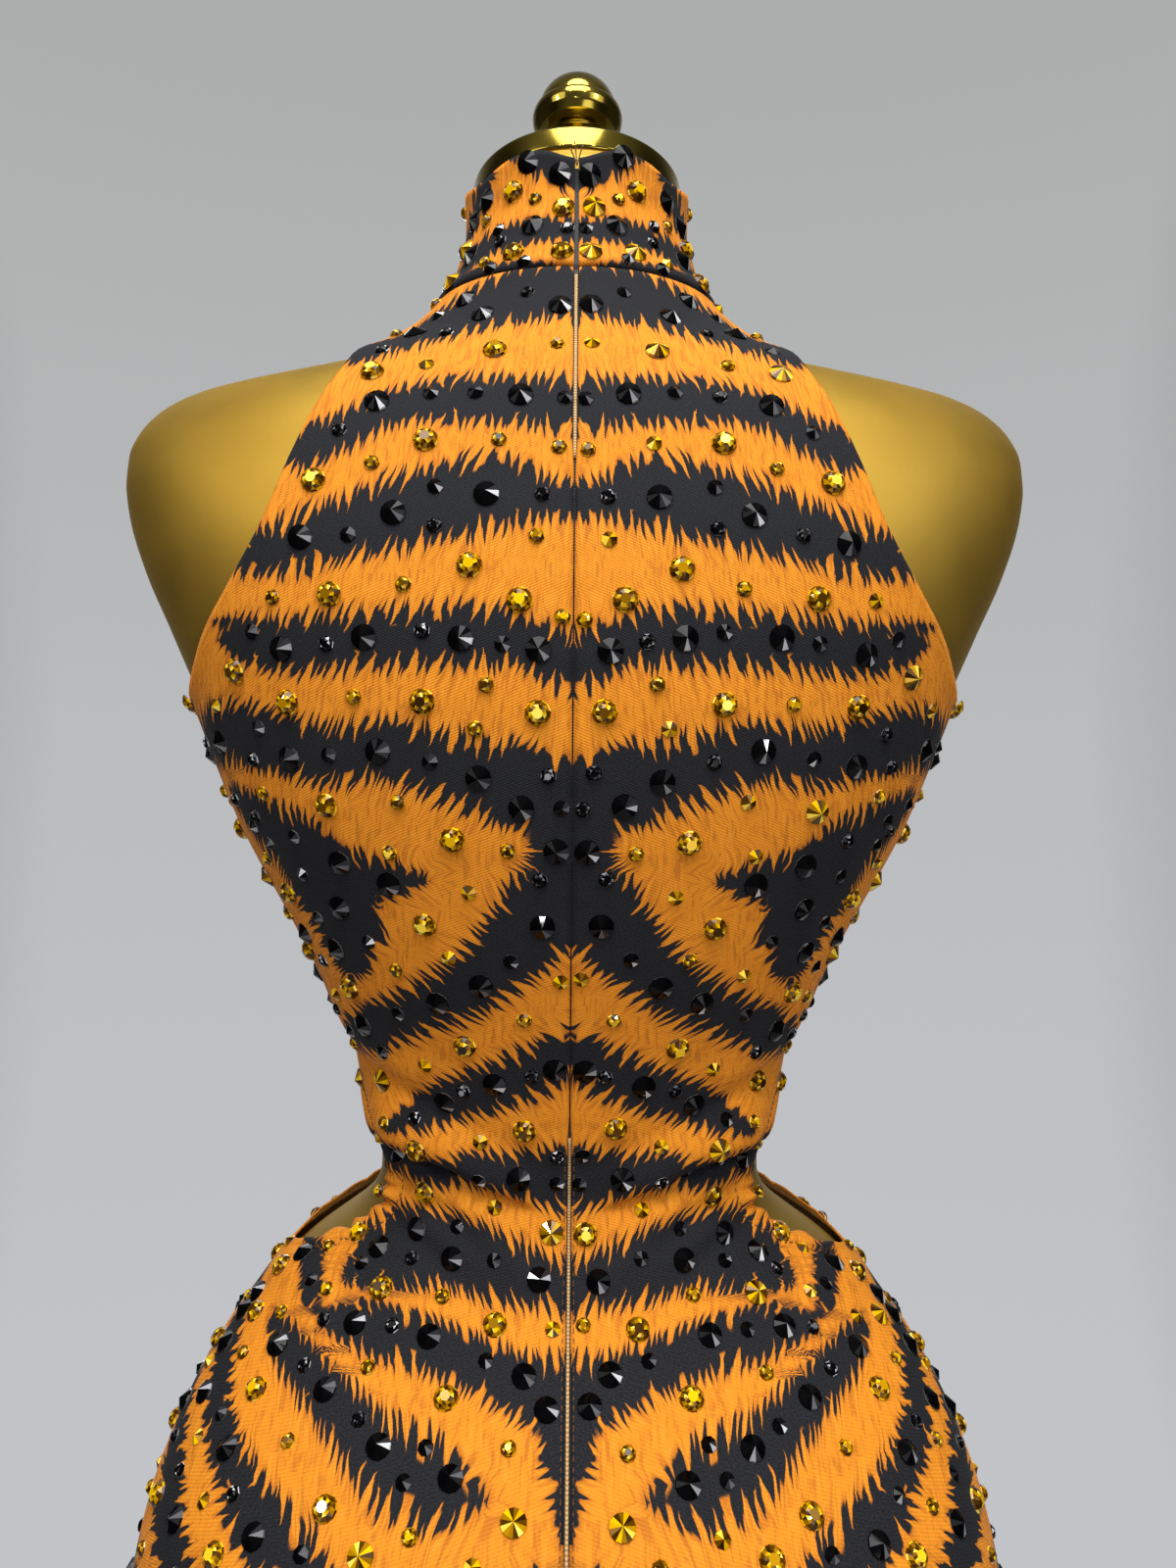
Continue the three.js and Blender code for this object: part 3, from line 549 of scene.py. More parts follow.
collarStripes = [
    [(0, 1476, 8), (9, 1479, 7), (20, 1486, 5), (29, 1489, 2)],
    [(40, 1483, 3), (49, 1473, 7), (59, 1462, 6.5), (69, 1455, 2)],
    [(0, 1445, 4.5), (14, 1447, 5), (28, 1446.5, 5.5), (42, 1445, 6), (54, 1440, 6.5),
     (70, 1435, 6), (86, 1431, 1)],
    [(10, 1426.5, 1), (30, 1428, 3), (58, 1428.5, 4.5), (84, 1428.5, 3), (96, 1428, 1)],
    [(84, 1474, 2), (100, 1466, 6), (118, 1462, 6), (136, 1466, 1)],
    [(104, 1436, 2), (122, 1428, 6), (144, 1424, 6), (162, 1420, 5)],
    [(150, 1452, 2), (166, 1444, 6), (190, 1442, 5)],
]


# the lie of the fur: distance round from the centre, height, degrees outwards from straight down
lieOfFur = {
    "back": [
        (10, 1400, 10), (70, 1385, 28), (10, 1340, 8), (60, 1345, 15), (110, 1325, 22), (15, 1290, 10),
        (70, 1290, 18), (125, 1290, 18), (12, 1235, 18), (60, 1250, 16), (100, 1262, 34), (140, 1245, 44),
        (100, 1228, 42), (60, 1205, 36), (25, 1190, 30), (60, 1165, -72), (92, 1150, -66), (30, 1145, -66),
        (62, 1128, -68), (92, 1118, -62), (135, 1185, -5), (132, 1145, -45), (8, 1155, -45), (8, 1110, -40),
        (60, 1100, -60), (90, 1100, -60), (5, 1065, -24), (24, 1062, -46), (48, 1065, -54), (90, 1068, -54),
        (5, 1030, -20), (22, 1030, -38), (45, 1030, -46), (88, 1035, -52), (15, 996, -10), (55, 998, -26),
        (88, 1000, -34), (106, 984, -40), (80, 972, -22), (52, 966, 12), (32, 960, 55), (14, 945, 78),
        (60, 928, 4), (92, 930, 20), (128, 974, -42), (112, 955, -34), (96, 945, -8), (152, 965, 82),
        (138, 945, 68), (122, 926, 50), (170, 940, 80), (30, 905, 4), (120, 880, 8), (60, 840, 0),
        (60, 700, 0), (60, 400, 0),
    ],
    "front": [
        (20, 1350, 10), (120, 1290, 24), (60, 1200, 20), (60, 1090, -34), (60, 1010, -24), (120, 950, -24),
        (60, 900, 0), (60, 700, 0), (60, 400, 0),
    ],
}


def furAngle(table, around, height):
    # the near rows of the table have the most say
    turn, weight = np.zeros(around.shape), np.zeros(around.shape)
    for s, z, degrees in table:
        near = 1 / ((around - s) ** 2 + (height - z) ** 2 + 60) ** 1.6
        turn += near * math.radians(degrees)
        weight += near
    return turn / weight


legBands = {"top": 818, "frontLower": 9, "reach": (0.62, 0.8), "thick": 0.055, "slope": 0.3, "bend": 9,
            "pitch": 0.115, "apart": 11}


def legStripes(shift):
    # bands that reach in turn from the outer seam and from the inseam, down to the ankle
    stripes = []
    pick = random.Random(31 + shift)
    z = legBands["top"] - legBands["frontLower"] * shift
    fromSide = True
    while z > hemZ - 10:
        girth = quarterLength(max(z, hemZ), shift == 0)
        reach = girth * pick.uniform(*legBands["reach"])
        thick = (legBands["thick"] + 0.01 * pick.random()) * girth + 1.5
        stripe = []
        for share in (0, 0.22, 0.45, 0.68, 0.87, 1):
            place = share * reach
            drop = legBands["slope"] * place - legBands["bend"] * math.sin(3.3 * share)
            drop += pick.uniform(-2.5, 2.5)
            width = thick * (1 - share ** 3) + 0.8
            stripe.append((girth + 4 - place if fromSide else place - 4, z - drop, width))
        stripes.append(stripe)
        z -= legBands["pitch"] * girth + legBands["apart"] + pick.uniform(-2, 2)
        fromSide = not fromSide
    return stripes


def smoothStripe(stripe, step=7.0):
    # the chart's points joined by a soft curve; one that starts at the centre goes on past it, mirrored
    if stripe[0][0] == 0 and stripe[1][0] != 0:
        stripe = [(-stripe[1][0], *stripe[1][1:])] + stripe
    points = np.array(stripe, dtype=float)
    curve = []
    for i in range(len(points) - 1):
        start, end = points[i], points[i + 1]
        before, after = points[max(i - 1, 0)], points[min(i + 2, len(points) - 1)]
        pieces = max(1, round(math.dist(start[:2], end[:2]) / step))
        for t in np.arange(pieces) / pieces:
            bend = (2 * before - 5 * start + 4 * end - after) * t * t
            twist = (3 * start - before - 3 * end + after) * t ** 3
            curve.append(0.5 * (2 * start + (end - before) * t + bend + twist))
    return curve + [points[-1]]


# how deep teeth may bite, as a share of a stripe's half width and in mm, and where two stripes' fur parts
biteShare, leastBite = 0.72, 1.2
teethPart, hairsPart = 5, 9


def stripeField(stripes, around, height, fur):
    # mm to the nearest stripe's edge, below 0 inside it; the place along it, followed back up the lean
    # of the fur; a number for that stripe; and how deep teeth may bite into it, in mm
    best = np.full(around.shape, 1e9)
    second = np.full(around.shape, 1e9)
    leaned, branch, bite = np.zeros(around.shape), np.zeros(around.shape), np.ones(around.shape)
    furS, furZ = np.sin(fur), -np.cos(fur)
    for number, stripe in enumerate(stripes):
        curve = np.array(smoothStripe(stripe))
        start, step = curve[:-1, :, None, None], np.diff(curve, axis=0)[:, :, None, None]
        length = np.hypot(step[:, 0], step[:, 1])
        run = np.cumsum(length, axis=0) - length
        ds, dz = step[:, 0] / length, step[:, 1] / length
        t = (around - start[:, 0]) * ds + (height - start[:, 1]) * dz
        held = np.clip(t, 0, length)
        offS, offZ = around - start[:, 0] - held * ds, height - start[:, 1] - held * dz
        off = np.maximum(np.hypot(offS, offZ), 1e-6)
        width = start[:, 2] + step[:, 2] * held / length
        away = off - width
        sideways = offZ * ds - offS * dz
        past = t - held
        past[1:] = np.maximum(past[1:], 0)
        past[:-1] = np.minimum(past[:-1], 0)
        wrapped = np.arctan2(past, np.abs(sideways) + 1e-6) * (width + 3)
        outward = (furS * offS + furZ * offZ) / off
        onward = (furS * offZ - furZ * offS) / off * sideways / np.maximum(np.hypot(sideways, past), 1e-6)
        slant = onward * outward ** 3 / (outward ** 4 + 0.06)
        # pieces of the line that are about as near share their say
        nearest = away.min(axis=0)
        say = np.exp((nearest - away) / 1.5)
        say /= say.sum(axis=0)
        nearer = nearest < best
        second = np.where(nearer, best, np.minimum(second, nearest))
        best = np.where(nearer, nearest, best)
        leaned = np.where(nearer, (say * (run + held + wrapped - away * slant)).sum(axis=0), leaned)
        branch = np.where(nearer, number, branch)
        mayBite = np.clip(biteShare * width, leastBite, deepestBite)
        bite = np.where(nearer, (say * mayBite).sum(axis=0), bite)
    # midway between two stripes the teeth of both end, and a little before that their hairs
    apart = second - best
    return {"stripe": best, "leaned": leaned, "branch": branch,
            "bite": bite * np.clip(apart / teethPart, 0, 1), "clear": np.clip(apart / hairsPart, 0, 1)}


print("chart")


# ---- the garment's panels ----
panelColumns = 60
hemTurn, seamGap = 20, 0.2


def rowHeights():
    rows = list(np.arange(neckSeam["side"] - 0.4, ridgeZ, -2.2)) + [ridgeZ]
    rows += list(np.arange(ridgeZ - 3, 1272, -4.0))
    rows += [underarmZ + 0.26 * k * k for k in range(9, 0, -1)] + [underarmZ]
    rows += list(np.arange(underarmZ - 4, cutoutTop + 2, -4.0))
    rows += [cutoutTop - 0.3 * k * k for k in range(0, 6)]
    rows += list(np.arange(cutoutTop - 10.5, cutoutBottom + 10, -1.4))
    rows += [cutoutBottom + 0.3 * k * k for k in range(5, -1, -1)]
    rows += list(np.arange(cutoutBottom - 3, seatZ, -4.0)) + [seatZ]
    rows += [seatZ - (seatZ - crotchZ) * math.sin(math.radians(k * 5)) for k in range(1, 19)]
    rows += list(np.arange(crotchZ - 6, hemZ, -6.5)) + [hemZ]
    return np.array(sorted(set(np.round(rows, 3)), reverse=True))


def seamHeight(girth):
    towards = 0.5 - 0.5 * np.cos(math.pi * np.maximum(0, girth - 1))
    back = neckSeam["back"] + (neckSeam["side"] - neckSeam["back"]) * np.minimum(1, girth)
    return back + (neckSeam["front"] - neckSeam["side"]) * towards


def panelReach(z, isBack):
    reach = 1.0
    if underarmZ < z < ridgeZ:
        reach = min(1.0, girthAtX(z, (armBack if isBack else armFront)(z), isBack))
    if cutoutBottom < z < cutoutTop:
        reach = 1 - float((cutBack if isBack else cutFront)(z))
    return reach - seamGap / quarterLength(z, isBack)


zipGap = {"open": 0.95, "shut": 0.3, "openAbove": 1336, "openBelow": 1072, "end": 884, "blend": 8,
          "taper": 12}


def centreGap(z, isBack):
    # half the gap at the centre: open at the cords, shut between them, and a plain seam below the zip
    end, blend = zipGap["end"], zipGap["blend"]
    if not isBack or z < end - zipGap["taper"]:
        return seamGap
    shut = smoothStep(z, zipGap["openBelow"] - blend, zipGap["openBelow"] + blend)
    shut *= 1 - smoothStep(z, zipGap["openAbove"] - blend, zipGap["openAbove"] + blend)
    gap = zipGap["open"] + (zipGap["shut"] - zipGap["open"]) * shut
    return seamGap + (gap - seamGap) * smoothStep(z, end - zipGap["taper"], end)


# Folds and creases: from x, z to x, z, then height, half width. Below 0 is a trough.
folds = {
    "back": [
        (96, 1098, 44, 1076, -1.6, 4), (70, 1049, 24, 1030, 2.6, 6),
        (92, 1044, 34, 1012, 2.0, 6), (86, 1034, 30, 1002, -1.2, 5), (104, 1116, 62, 1092, 2.0, 8),
        (98, 1104, 58, 1078, -1.3, 5), (40, 1030, 8, 1004, 1.6, 6), (96, 1070, 58, 1046, 1.4, 4.5),
        (128, 1002, 90, 986, 1.2, 6), (112, 1130, 84, 1112, 1.0, 7), (150, 822, 60, 806, 2.4, 9),
        (120, 792, 40, 778, -1.6, 8), (96, 1222, 112, 1180, 0.7, 9), (86, 1300, 70, 1270, 0.6, 10),
    ],
    "front": [
        (84, 1086, 36, 1056, 3.0, 9), (76, 1062, 16, 1040, 2.4, 8), (84, 1076, 44, 1050, -1.4, 5),
        (112, 1004, 50, 1018, 1.8, 8), (120, 812, 26, 838, 3.0, 9), (124, 796, 20, 820, -1.8, 8),
        (128, 776, 24, 798, 2.2, 8), (134, 1250, 96, 1232, 1.2, 9), (122, 1268, 86, 1246, -0.8, 8),
    ],
}


# A roll of cloth lies over the waist on each side of the back: its lower edge's line as x, z and height
roll = [
    (98, 1072, 0), (90, 1067.5, 0.5), (86, 1064.5, 2), (80, 1061.5, 5), (72, 1059, 8.5), (57, 1056.5, 8.5),
    (48, 1054, 7.5), (36, 1047, 6), (20, 1041, 4), (11, 1036, 0),
]
rollEdge, rollWidth = 8, 27


def rollLift(x, z):
    line = np.array(roll)[::-1]
    over = z - np.interp(x, line[:, 0], line[:, 1])
    tall = np.interp(x, line[:, 0], line[:, 2])
    under = np.sqrt(np.clip(1 - (1 - np.clip(over, 0, rollEdge) / rollEdge) ** 2, 0, 1))
    rise = under * (1 - smoothStep(over, rollEdge, rollWidth))
    return tall * rise - 2 * tall / rollEdge * np.exp(-((over + 2.2) / 2.4) ** 2)


def foldLift(x, z, isBack):
    lift = rollLift(x, z) if isBack else np.zeros(x.shape)
    for x1, z1, x2, z2, height, width in folds["back" if isBack else "front"]:
        alongX, alongZ = x2 - x1, z2 - z1
        t = np.clip(((x - x1) * alongX + (z - z1) * alongZ) / (alongX ** 2 + alongZ ** 2), 0, 1)
        off = np.hypot(x - x1 - t * alongX, z - z1 - t * alongZ) / width
        lift += height * np.sin(math.pi * (0.12 + 0.76 * t)) * np.exp(-off * off)
    return lift


def legDrape(z, girth):
    share = smoothStep(660 - z, 0, 140)
    # two waves round each leg, which turn slowly on the way down
    waves = 1 + np.cos(4 * math.pi * girth + 0.004 * math.pi * z)
    fine = np.sin(9 * girth + 0.021 * z) * np.sin(0.037 * z - 5 * girth)
    return share * (3.2 * waves + 0.7 * fine)


def gridNormals(points, towards):
    # the grid's normals, on the same side as another direction at each point
    normals = unit(np.cross(np.gradient(points, axis=0), np.gradient(points, axis=1)))
    along = (normals * towards).sum(axis=-1, keepdims=True)
    return normals * np.sign(along), np.abs(along)


gather = {"stitchLine": 10.5, "swell": 1.2, "back": 1.7, "front": 0.5, "pinch": 0.7}
edgeTurn, hemGroove, deepestTrough = 0.45, 0.5, -2.2


class Panel:
    # the left half (+X) of the back or front as a grid from the collar seam to the hem
    def __init__(self, isBack):
        self.isBack = isBack
        self.rows = rowHeights()
        shares = np.linspace(0, 1, panelColumns + 1)
        low, high = (0, 1) if isBack else (1, 2)
        parts = []
        for z in self.rows:
            reach = panelReach(min(z, ridgeZ), isBack)
            girth = shares * reach if isBack else 2 - shares * reach
            bent = z + (seamHeight(girth) - neckSeam["side"]) * smoothStep(z, 1340, neckSeam["side"])
            up = self.figureAt(bent + 1.5, girth) - self.figureAt(bent - 1.5, girth)
            onward = self.figureAt(bent, np.minimum(high, girth + 0.015))
            onward = onward - self.figureAt(bent, np.maximum(low, girth - 0.015))
            around = shares * reach * quarterLength(z, isBack)
            parts.append((self.figureAt(bent, girth), np.cross(up, onward), girth, around, bent))
        self.figure, normals, self.girth, self.around, self.height = map(np.array, zip(*parts))
        normals[self.rows > crotchZ, 0, 0] = 0
        self.normals = unit(normals)
        self.edgeRoom = (shares[-1] - shares)[None, :] * self.around[:, -1:]
        self.surface = self.figure + self.normals * (ease + cloth + self.lifts())[..., None]
        self.fitCentre()
        lifted, along = gridNormals(self.surface, self.normals)
        self.normals = np.where(along > 0.7, lifted, self.normals)

    def figureAt(self, heights, girths):
        if np.ptp(heights) < 0.01:
            return np.column_stack([figureRow(heights[0], girths, self.isBack), heights])
        rows = [figureRow(h, g, self.isBack) for h, g in zip(heights, girths)]
        return np.column_stack([np.stack(rows), heights])

    def lifts(self):
        x, z, room = self.figure[..., 0], self.figure[..., 2], self.edgeRoom
        lift = foldLift(x, z, self.isBack) + legDrape(z, self.girth)
        # the gathered strip outside the cutout's stitching
        inCutout = smoothStep(z, cutoutBottom - 4, cutoutBottom + 8)
        inCutout = inCutout * (1 - smoothStep(z, cutoutTop - 8, cutoutTop + 2))
        ripple = np.sin(0.95 * z + 1.4 * np.sin(0.21 * z)) * (0.9 + 0.4 * np.sin(0.33 * z))
        ripple = ripple * (1 - smoothStep(z, 1036, 1054)) * gather["back" if self.isBack else "front"]
        lift += (1 - smoothStep(room, 5, 11)) * inCutout * (ripple + gather["swell"])
        lift -= gather["pinch"] * np.exp(-((room - gather["stitchLine"]) / 1.6) ** 2) * inCutout
        # the turned edges and hems are a little thicker
        lift += edgeTurn * (1 - smoothStep(room, 6, 8)) * smoothStep(z, underarmZ - 6, underarmZ + 6)
        lift -= hemGroove * np.exp(-((z - hemZ - hemTurn) / 1.6) ** 2)
        # soft pulls beside the zip
        if self.isBack:
            byZip = smoothStep(z, 880, 900)
            pulls = 0.25 * np.sin(0.42 * z) + 0.2 * np.sin(0.17 * z + 1)
            lift += (np.exp(-self.around / 6) * pulls - 0.55 * np.exp(-(self.around / 1.6) ** 2)) * byZip
        return np.maximum(lift, deepestTrough)

    def fitCentre(self):
        # the seam's edges stand straight along the zip, and meet at the inseam below it
        for r, z in enumerate(self.rows):
            if z > crotchZ - 1:
                gap = centreGap(z, self.isBack)
                held = gap * np.exp(-self.around[r] / 8)
                self.surface[r, :, 0] = np.maximum(self.surface[r, :, 0], held)
                self.surface[r, 0, 0] = gap
            else:
                self.surface[r, 0, 1] += seamGap if self.isBack else -seamGap

    def at(self, row, column):
        # place and normal at fractional grid places
        r0 = np.clip(np.floor(row).astype(int), 0, len(self.rows) - 2)
        c0 = np.clip(np.floor(column).astype(int), 0, panelColumns - 1)
        fr, fc = (row - r0)[:, None], (column - c0)[:, None]

        def blend(grid):
            top, low = [grid[r, c0] * (1 - fc) + grid[r, c0 + 1] * fc for r in (r0, r0 + 1)]
            return top * (1 - fr) + low * fr

        return blend(self.surface), unit(blend(self.normals))

    def rowOf(self, z):
        return np.interp(-np.asarray(z, dtype=float), -self.rows, np.arange(len(self.rows)))

    def place(self, z, around):
        # around is mm from the centre seam
        row = self.rowOf(z)
        near = self.around[np.clip(np.round(row).astype(int), 0, len(self.rows) - 1)]
        columns = [np.interp(a, line, np.arange(panelColumns + 1)) for a, line in zip(around, near)]
        return self.at(row, np.array(columns))


def clothObject(name, surface, normals, fields, wall):
    # one sheet of cloth that faces away from the form, with its thickness inwards
    thing = meshObject(name, surface.reshape(-1, 3), gridFaces(*surface.shape[:2]), [jersey, jerseyInside])
    for key, values in fields.items():
        storeValues(thing, key, "POINT", values)
    facing = np.empty(len(thing.data.polygons) * 3)
    thing.data.polygons.foreach_get("normal", facing)
    if (facing * normals[:-1, :-1].ravel()).sum() < 0:
        thing.data.flip_normals()
    solid = thing.modifiers.new("wall", "SOLIDIFY")
    solid.thickness = wall * mm
    solid.offset = -1
    solid.material_offset = 1
    solid.material_offset_rim = 0
    solid.use_even_offset = False
    return thing


halves = {"Left": np.array([1, 1, 1]), "Right": np.array([-1, 1, 1])}
panels = {"back": Panel(True), "front": Panel(False)}
charts = {"back": backStripes + legStripes(0), "front": frontStripes + legStripes(1)}
sheets = {}
for side, panel in panels.items():
    around, height = panel.around, panel.height
    fields = stripeField(charts[side], around, height, furAngle(lieOfFur[side], around, height))
    panel.stripe = fields["stripe"]
    # the fur fans out to the sides, down the body
    fields.update(across=around / (1 + (1500 - height) / 450), height=height)
    for half, flip in halves.items():
        piece = clothObject(side + half, panel.surface * flip, panel.normals * flip, fields, 0.9)
        onBody(piece, "printed_jersey", f"{side}_{half.lower()}")
        sheets[side + half] = piece
print("panels", len(panels["back"].rows), "rows")


# ---- the collar ----
collar = {"height": 58, "frontHeight": 60, "wall": 2.0, "notch": 5.5, "notchWidth": 13, "dip": 5.5,
          "dipAt": 46, "dipWidth": 17, "cornerRoll": 1.6, "columns": 90, "levels": 26}


def collarGrid():
    girth = np.linspace(0, 2, collar["columns"] + 1)
    low = seamHeight(girth) + 0.3
    tall = collar["height"] + (collar["frontHeight"] - collar["height"]) * girth / 2
    rows = []
    for r in range(collar["levels"] + 1):
        share = r / collar["levels"]
        row = []
        for g, z0, h in zip(girth, low, tall):
            z = z0 + share * h
            quarterBack = quarterLength(z, True)
            s = g * quarterBack if g <= 1 else quarterBack + (g - 1) * quarterLength(z, False)
            notch = collar["notch"] * math.exp(-(s / collar["notchWidth"]) ** 2 * 1.6)
            dip = collar["dip"] * math.exp(-((s - collar["dipAt"]) / collar["dipWidth"]) ** 2)
            z -= notch * share ** 1.5 + dip * share ** 1.5
            row.append((*figureRow(z, np.array([g]), g <= 1)[0], z, s))
        rows.append(row)
    grid = np.array(rows)
    points, level, around = grid[..., :3], grid[..., 2], grid[..., 3]
    normals, _ = gridNormals(points, (points - [0, -13, 0]) * [1, 1, 0])
    share = np.linspace(0, 1, collar["levels"] + 1)[:, None]
    lift = ease + collar["wall"] - 0.4 + 0.8 * np.exp(-((share - 0.05) / 0.05) ** 2)
    lift = lift + 0.5 * smoothStep(share, 0.9, 1) - 1.1 * smoothStep(0.05 - share, 0, 0.05)
    lift = lift + 0.35 * np.sin(0.11 * around + 2) * np.sin(3 * share + 0.05 * around)
    # the corners at the zip roll outwards a little
    lift = lift + collar["cornerRoll"] * np.exp(-(around / 12) ** 2) * smoothStep(share, 0.72, 1)
    surface = points + normals * lift[..., None]
    surface[:, 0, 0] = zipGap["open"]
    surface[:, -1, 0] = 0
    return surface, gridNormals(surface, normals)[0], around, level


collarSurface, collarNormals, collarAround, collarLevel = collarGrid()
collarFur = np.radians(np.clip(0.3 * collarAround, 0, 20))
collarFields = stripeField(collarStripes, collarAround, collarLevel, collarFur)
collarFields.update(across=collarAround, height=collarLevel)


def mirrored(grid, flip):
    # the left half joined to its mirror at the centre front
    return np.concatenate([grid, (grid * flip)[:, ::-1][:, 1:]], axis=1)


collarBand = clothObject("collarBand", mirrored(collarSurface, halves["Right"]),
                         mirrored(collarNormals, halves["Right"]),
                         {key: mirrored(values, 1) for key, values in collarFields.items()}, 1.3)
onBody(collarBand, "printed_jersey", "collar")
print("collar")


# ---- the dress form ----
neckTop, neckTilt = 1481, math.radians(7)
capCentreY = float(sideY(neckTop))
formColumns = 97


def formRows():
    rows = list(np.arange(1481, 1440, -4.0)) + list(np.arange(1440, 1340, -2.4))
    rows += list(np.arange(1340, 1110, -6.0)) + list(np.arange(1110, 990, -3.0))
    rows += list(np.arange(990, seatZ, -6.0)) + [seatZ]
    rows += [seatZ - (seatZ - crotchZ) * math.sin(math.radians(k * 6)) for k in range(1, 16)]
    return rows + list(np.arange(crotchZ - 6, stumpZ + 8, -8.0)) + [stumpZ + 8]


def drawnIn(ring, centre, share, z):
    return np.column_stack([centre + (ring[:, :2] - centre) * share, np.full(formColumns, z)])


def dressFormMesh():
    girth = np.linspace(0, 2, formColumns)
    rows = []
    for z in formRows():
        halfRow = np.vstack([figureRow(z, girth[:49], True), figureRow(z, girth[49:], False)])
        row = np.column_stack([halfRow, np.full(formColumns, z)])
        row[:, 2] += smoothStep(z, neckTop - 14, neckTop) * math.tan(neckTilt) * (row[:, 1] - capCentreY)
        if z > crotchZ + 0.01:
            row[0, 0] = row[-1, 0] = 0
        rows.append(row)
    # the neck closes flat under the cap, the stump in a rounded edge of 8 mm
    top, last = rows[0], rows[-1]
    centre = last.mean(axis=0)[:2]
    for turn in range(1, 9):
        angle = math.radians(turn * 90 / 8)
        rows.append(drawnIn(last, centre, 1 - 0.16 * (1 - math.cos(angle)), last[0, 2] - 8 * math.sin(angle)))
    rows += [drawnIn(last, centre, share * 0.84, stumpZ) for share in (0.55, 0.25, 0.02)]
    rows = [drawnIn(top, np.array([0, capCentreY]), share, top[:, 2] * share + neckTop * (1 - share))
            for share in (0.02, 0.5, 0.9)] + rows
    half = np.array(rows).reshape(-1, 3)
    faces = gridFaces(len(rows), formColumns)
    points = np.concatenate([half, half * halves["Right"]])
    faces = np.concatenate([faces, faces[:, ::-1] + len(half)])
    return meshObject("dressFormBody", points, faces, [gold], merge=0.00005)


dressForm = onBody(dressFormMesh(), "gold_paint", "dress_form")


# ---- turned metal pieces ----
def turnedPiece(name, nodeName, profile, steps, place=(0, 0, 0), tilt=0.0):
    # a solid of revolution from its (radius, height) profile, which starts and ends on the axis
    angles = np.linspace(0, 2 * math.pi, steps, endpoint=False)
    points = np.array([[(r * math.cos(a), r * math.sin(a), h) for a in angles] for r, h in profile])
    faces = gridFaces(len(profile), steps, closed=True)
    thing = meshObject(name, points.reshape(-1, 3), faces, [plate], merge=0.00001)
    thing.data.transform(Matrix.Translation(Vector(place) * mm) @ Matrix.Rotation(tilt, 4, "X"))
    return onBody(thing, "gold_plate", nodeName)


def rounded(corners, radius, steps=5):
    # a profile with its inner corners rounded
    out = [corners[0]]
    for before, corner, after in zip(corners, corners[1:], corners[2:]):
        b, c, a = (np.array(p, dtype=float) for p in (before, corner, after))
        cut = min(radius, 0.45 * np.linalg.norm(b - c), 0.45 * np.linalg.norm(a - c))
        start, end = c + (b - c) / np.linalg.norm(b - c) * cut, c + (a - c) / np.linalg.norm(a - c) * cut
        for k in range(steps + 1):
            t = k / steps
            out.append(tuple((1 - t) ** 2 * start + 2 * t * (1 - t) * c + t * t * end))
    return out + [corners[-1]]


capProfile = [(0, 0.3), (6, 0.3)] + rounded(
    [(20, 0.3), (47, 0.3), (48.5, 1.3), (48.5, 10.2), (47.6, 11.3), (44.5, 11.3), (40, 10.9), (20, 10.9)],
    0.9) + [(0, 10.9)]
# the knob: a tall flared foot, turned rings under the bowl, a sharp ridge and the dome that stands on it
knobProfile = [(0, 11.6), (8, 11.6)] + rounded(
    [(19, 11.6), (19, 14), (17.5, 15.4), (14.5, 20.5), (11, 27.5), (9, 33), (8, 36)], 2.0)
knobProfile += [(8.9, 36.3), (9.6, 37.1), (9.6, 37.9), (8.9, 38.6)] + rounded(
    [(9.3, 38.9), (13, 40.6), (13.4, 41.6), (15.4, 41.9), (18.5, 44), (20.6, 47), (21.4, 50.2),
     (21.2, 52.6), (20.6, 54.1), (19.3, 54.4)], 0.7)
for angle in np.linspace(0, math.pi / 2, 25)[:-1]:
    knobProfile.append((18.7 * math.cos(angle), 54.4 + 17.4 * math.sin(angle)))
knobProfile.append((0, 71.8))
poleProfile = [(0, 12.3), (10, 12.3)] + rounded(
    [(30, 12.3), (34, 12.3), (34, 16.5), (31, 18.3), (16, 19), (12.5, 21), (12.5, 30)], 1.2) + rounded(
    [(12.5, 670), (12.5, 681), (16, 683), (31, 683.8), (34, 685.4), (34, 689.7), (20, 689.7)], 1.2)
poleProfile.append((0, 689.7))
baseProfile = [(0, 0), (40, 0), (120, 0)] + rounded(
    [(160, 0), (188.5, 0), (190, 1.5), (190, 8), (187, 11), (182, 12), (120, 12)], 1.4) + [(40, 12),
     (0, 12)]
topPlace = (0, capCentreY, neckTop)
polePlace = (float((legInner(stumpZ) + legOuter(stumpZ)) / 2), float(legMiddle(stumpZ)), 0)
turnedPiece("neckCap", "neck_cap", capProfile, 128, topPlace, neckTilt)
turnedPiece("neckKnob", "neck_knob", knobProfile, 96, topPlace, neckTilt)
turnedPiece("standPole", "pole", poleProfile, 64, polePlace)
turnedPiece("standBase", "base_plate", baseProfile, 160)
print("form and stand")


# ---- zip and sewing ----
def tubeMesh(name, path, radius, sides, material):
    path = np.asarray(path, dtype=float)
    tangent = unit(np.gradient(path, axis=0))
    first = unit(np.cross(tangent, [1.0, 0.0, 0.0]))
    second = np.cross(tangent, first)
    angles = np.linspace(0, 2 * math.pi, sides, endpoint=False)[None, :, None]
    points = path[:, None] + (np.cos(angles) * first[:, None] + np.sin(angles) * second[:, None]) * radius
    return meshObject(name, points.reshape(-1, 3), tubeFaces(len(path), sides), [material], merge=0.00001)


back = panels["back"]


def centrePath(high, low, step, out):
    zs = np.arange(high, low, -step)
    y, z = [np.interp(-zs, -back.rows, back.surface[:, 0, k]) for k in (1, 2)]
    return np.column_stack([np.zeros(len(zs)), y + out, z])


tape = {"halfWidth": 1.5, "back": -1.8, "front": -1.15, "top": 1424, "end": 886}


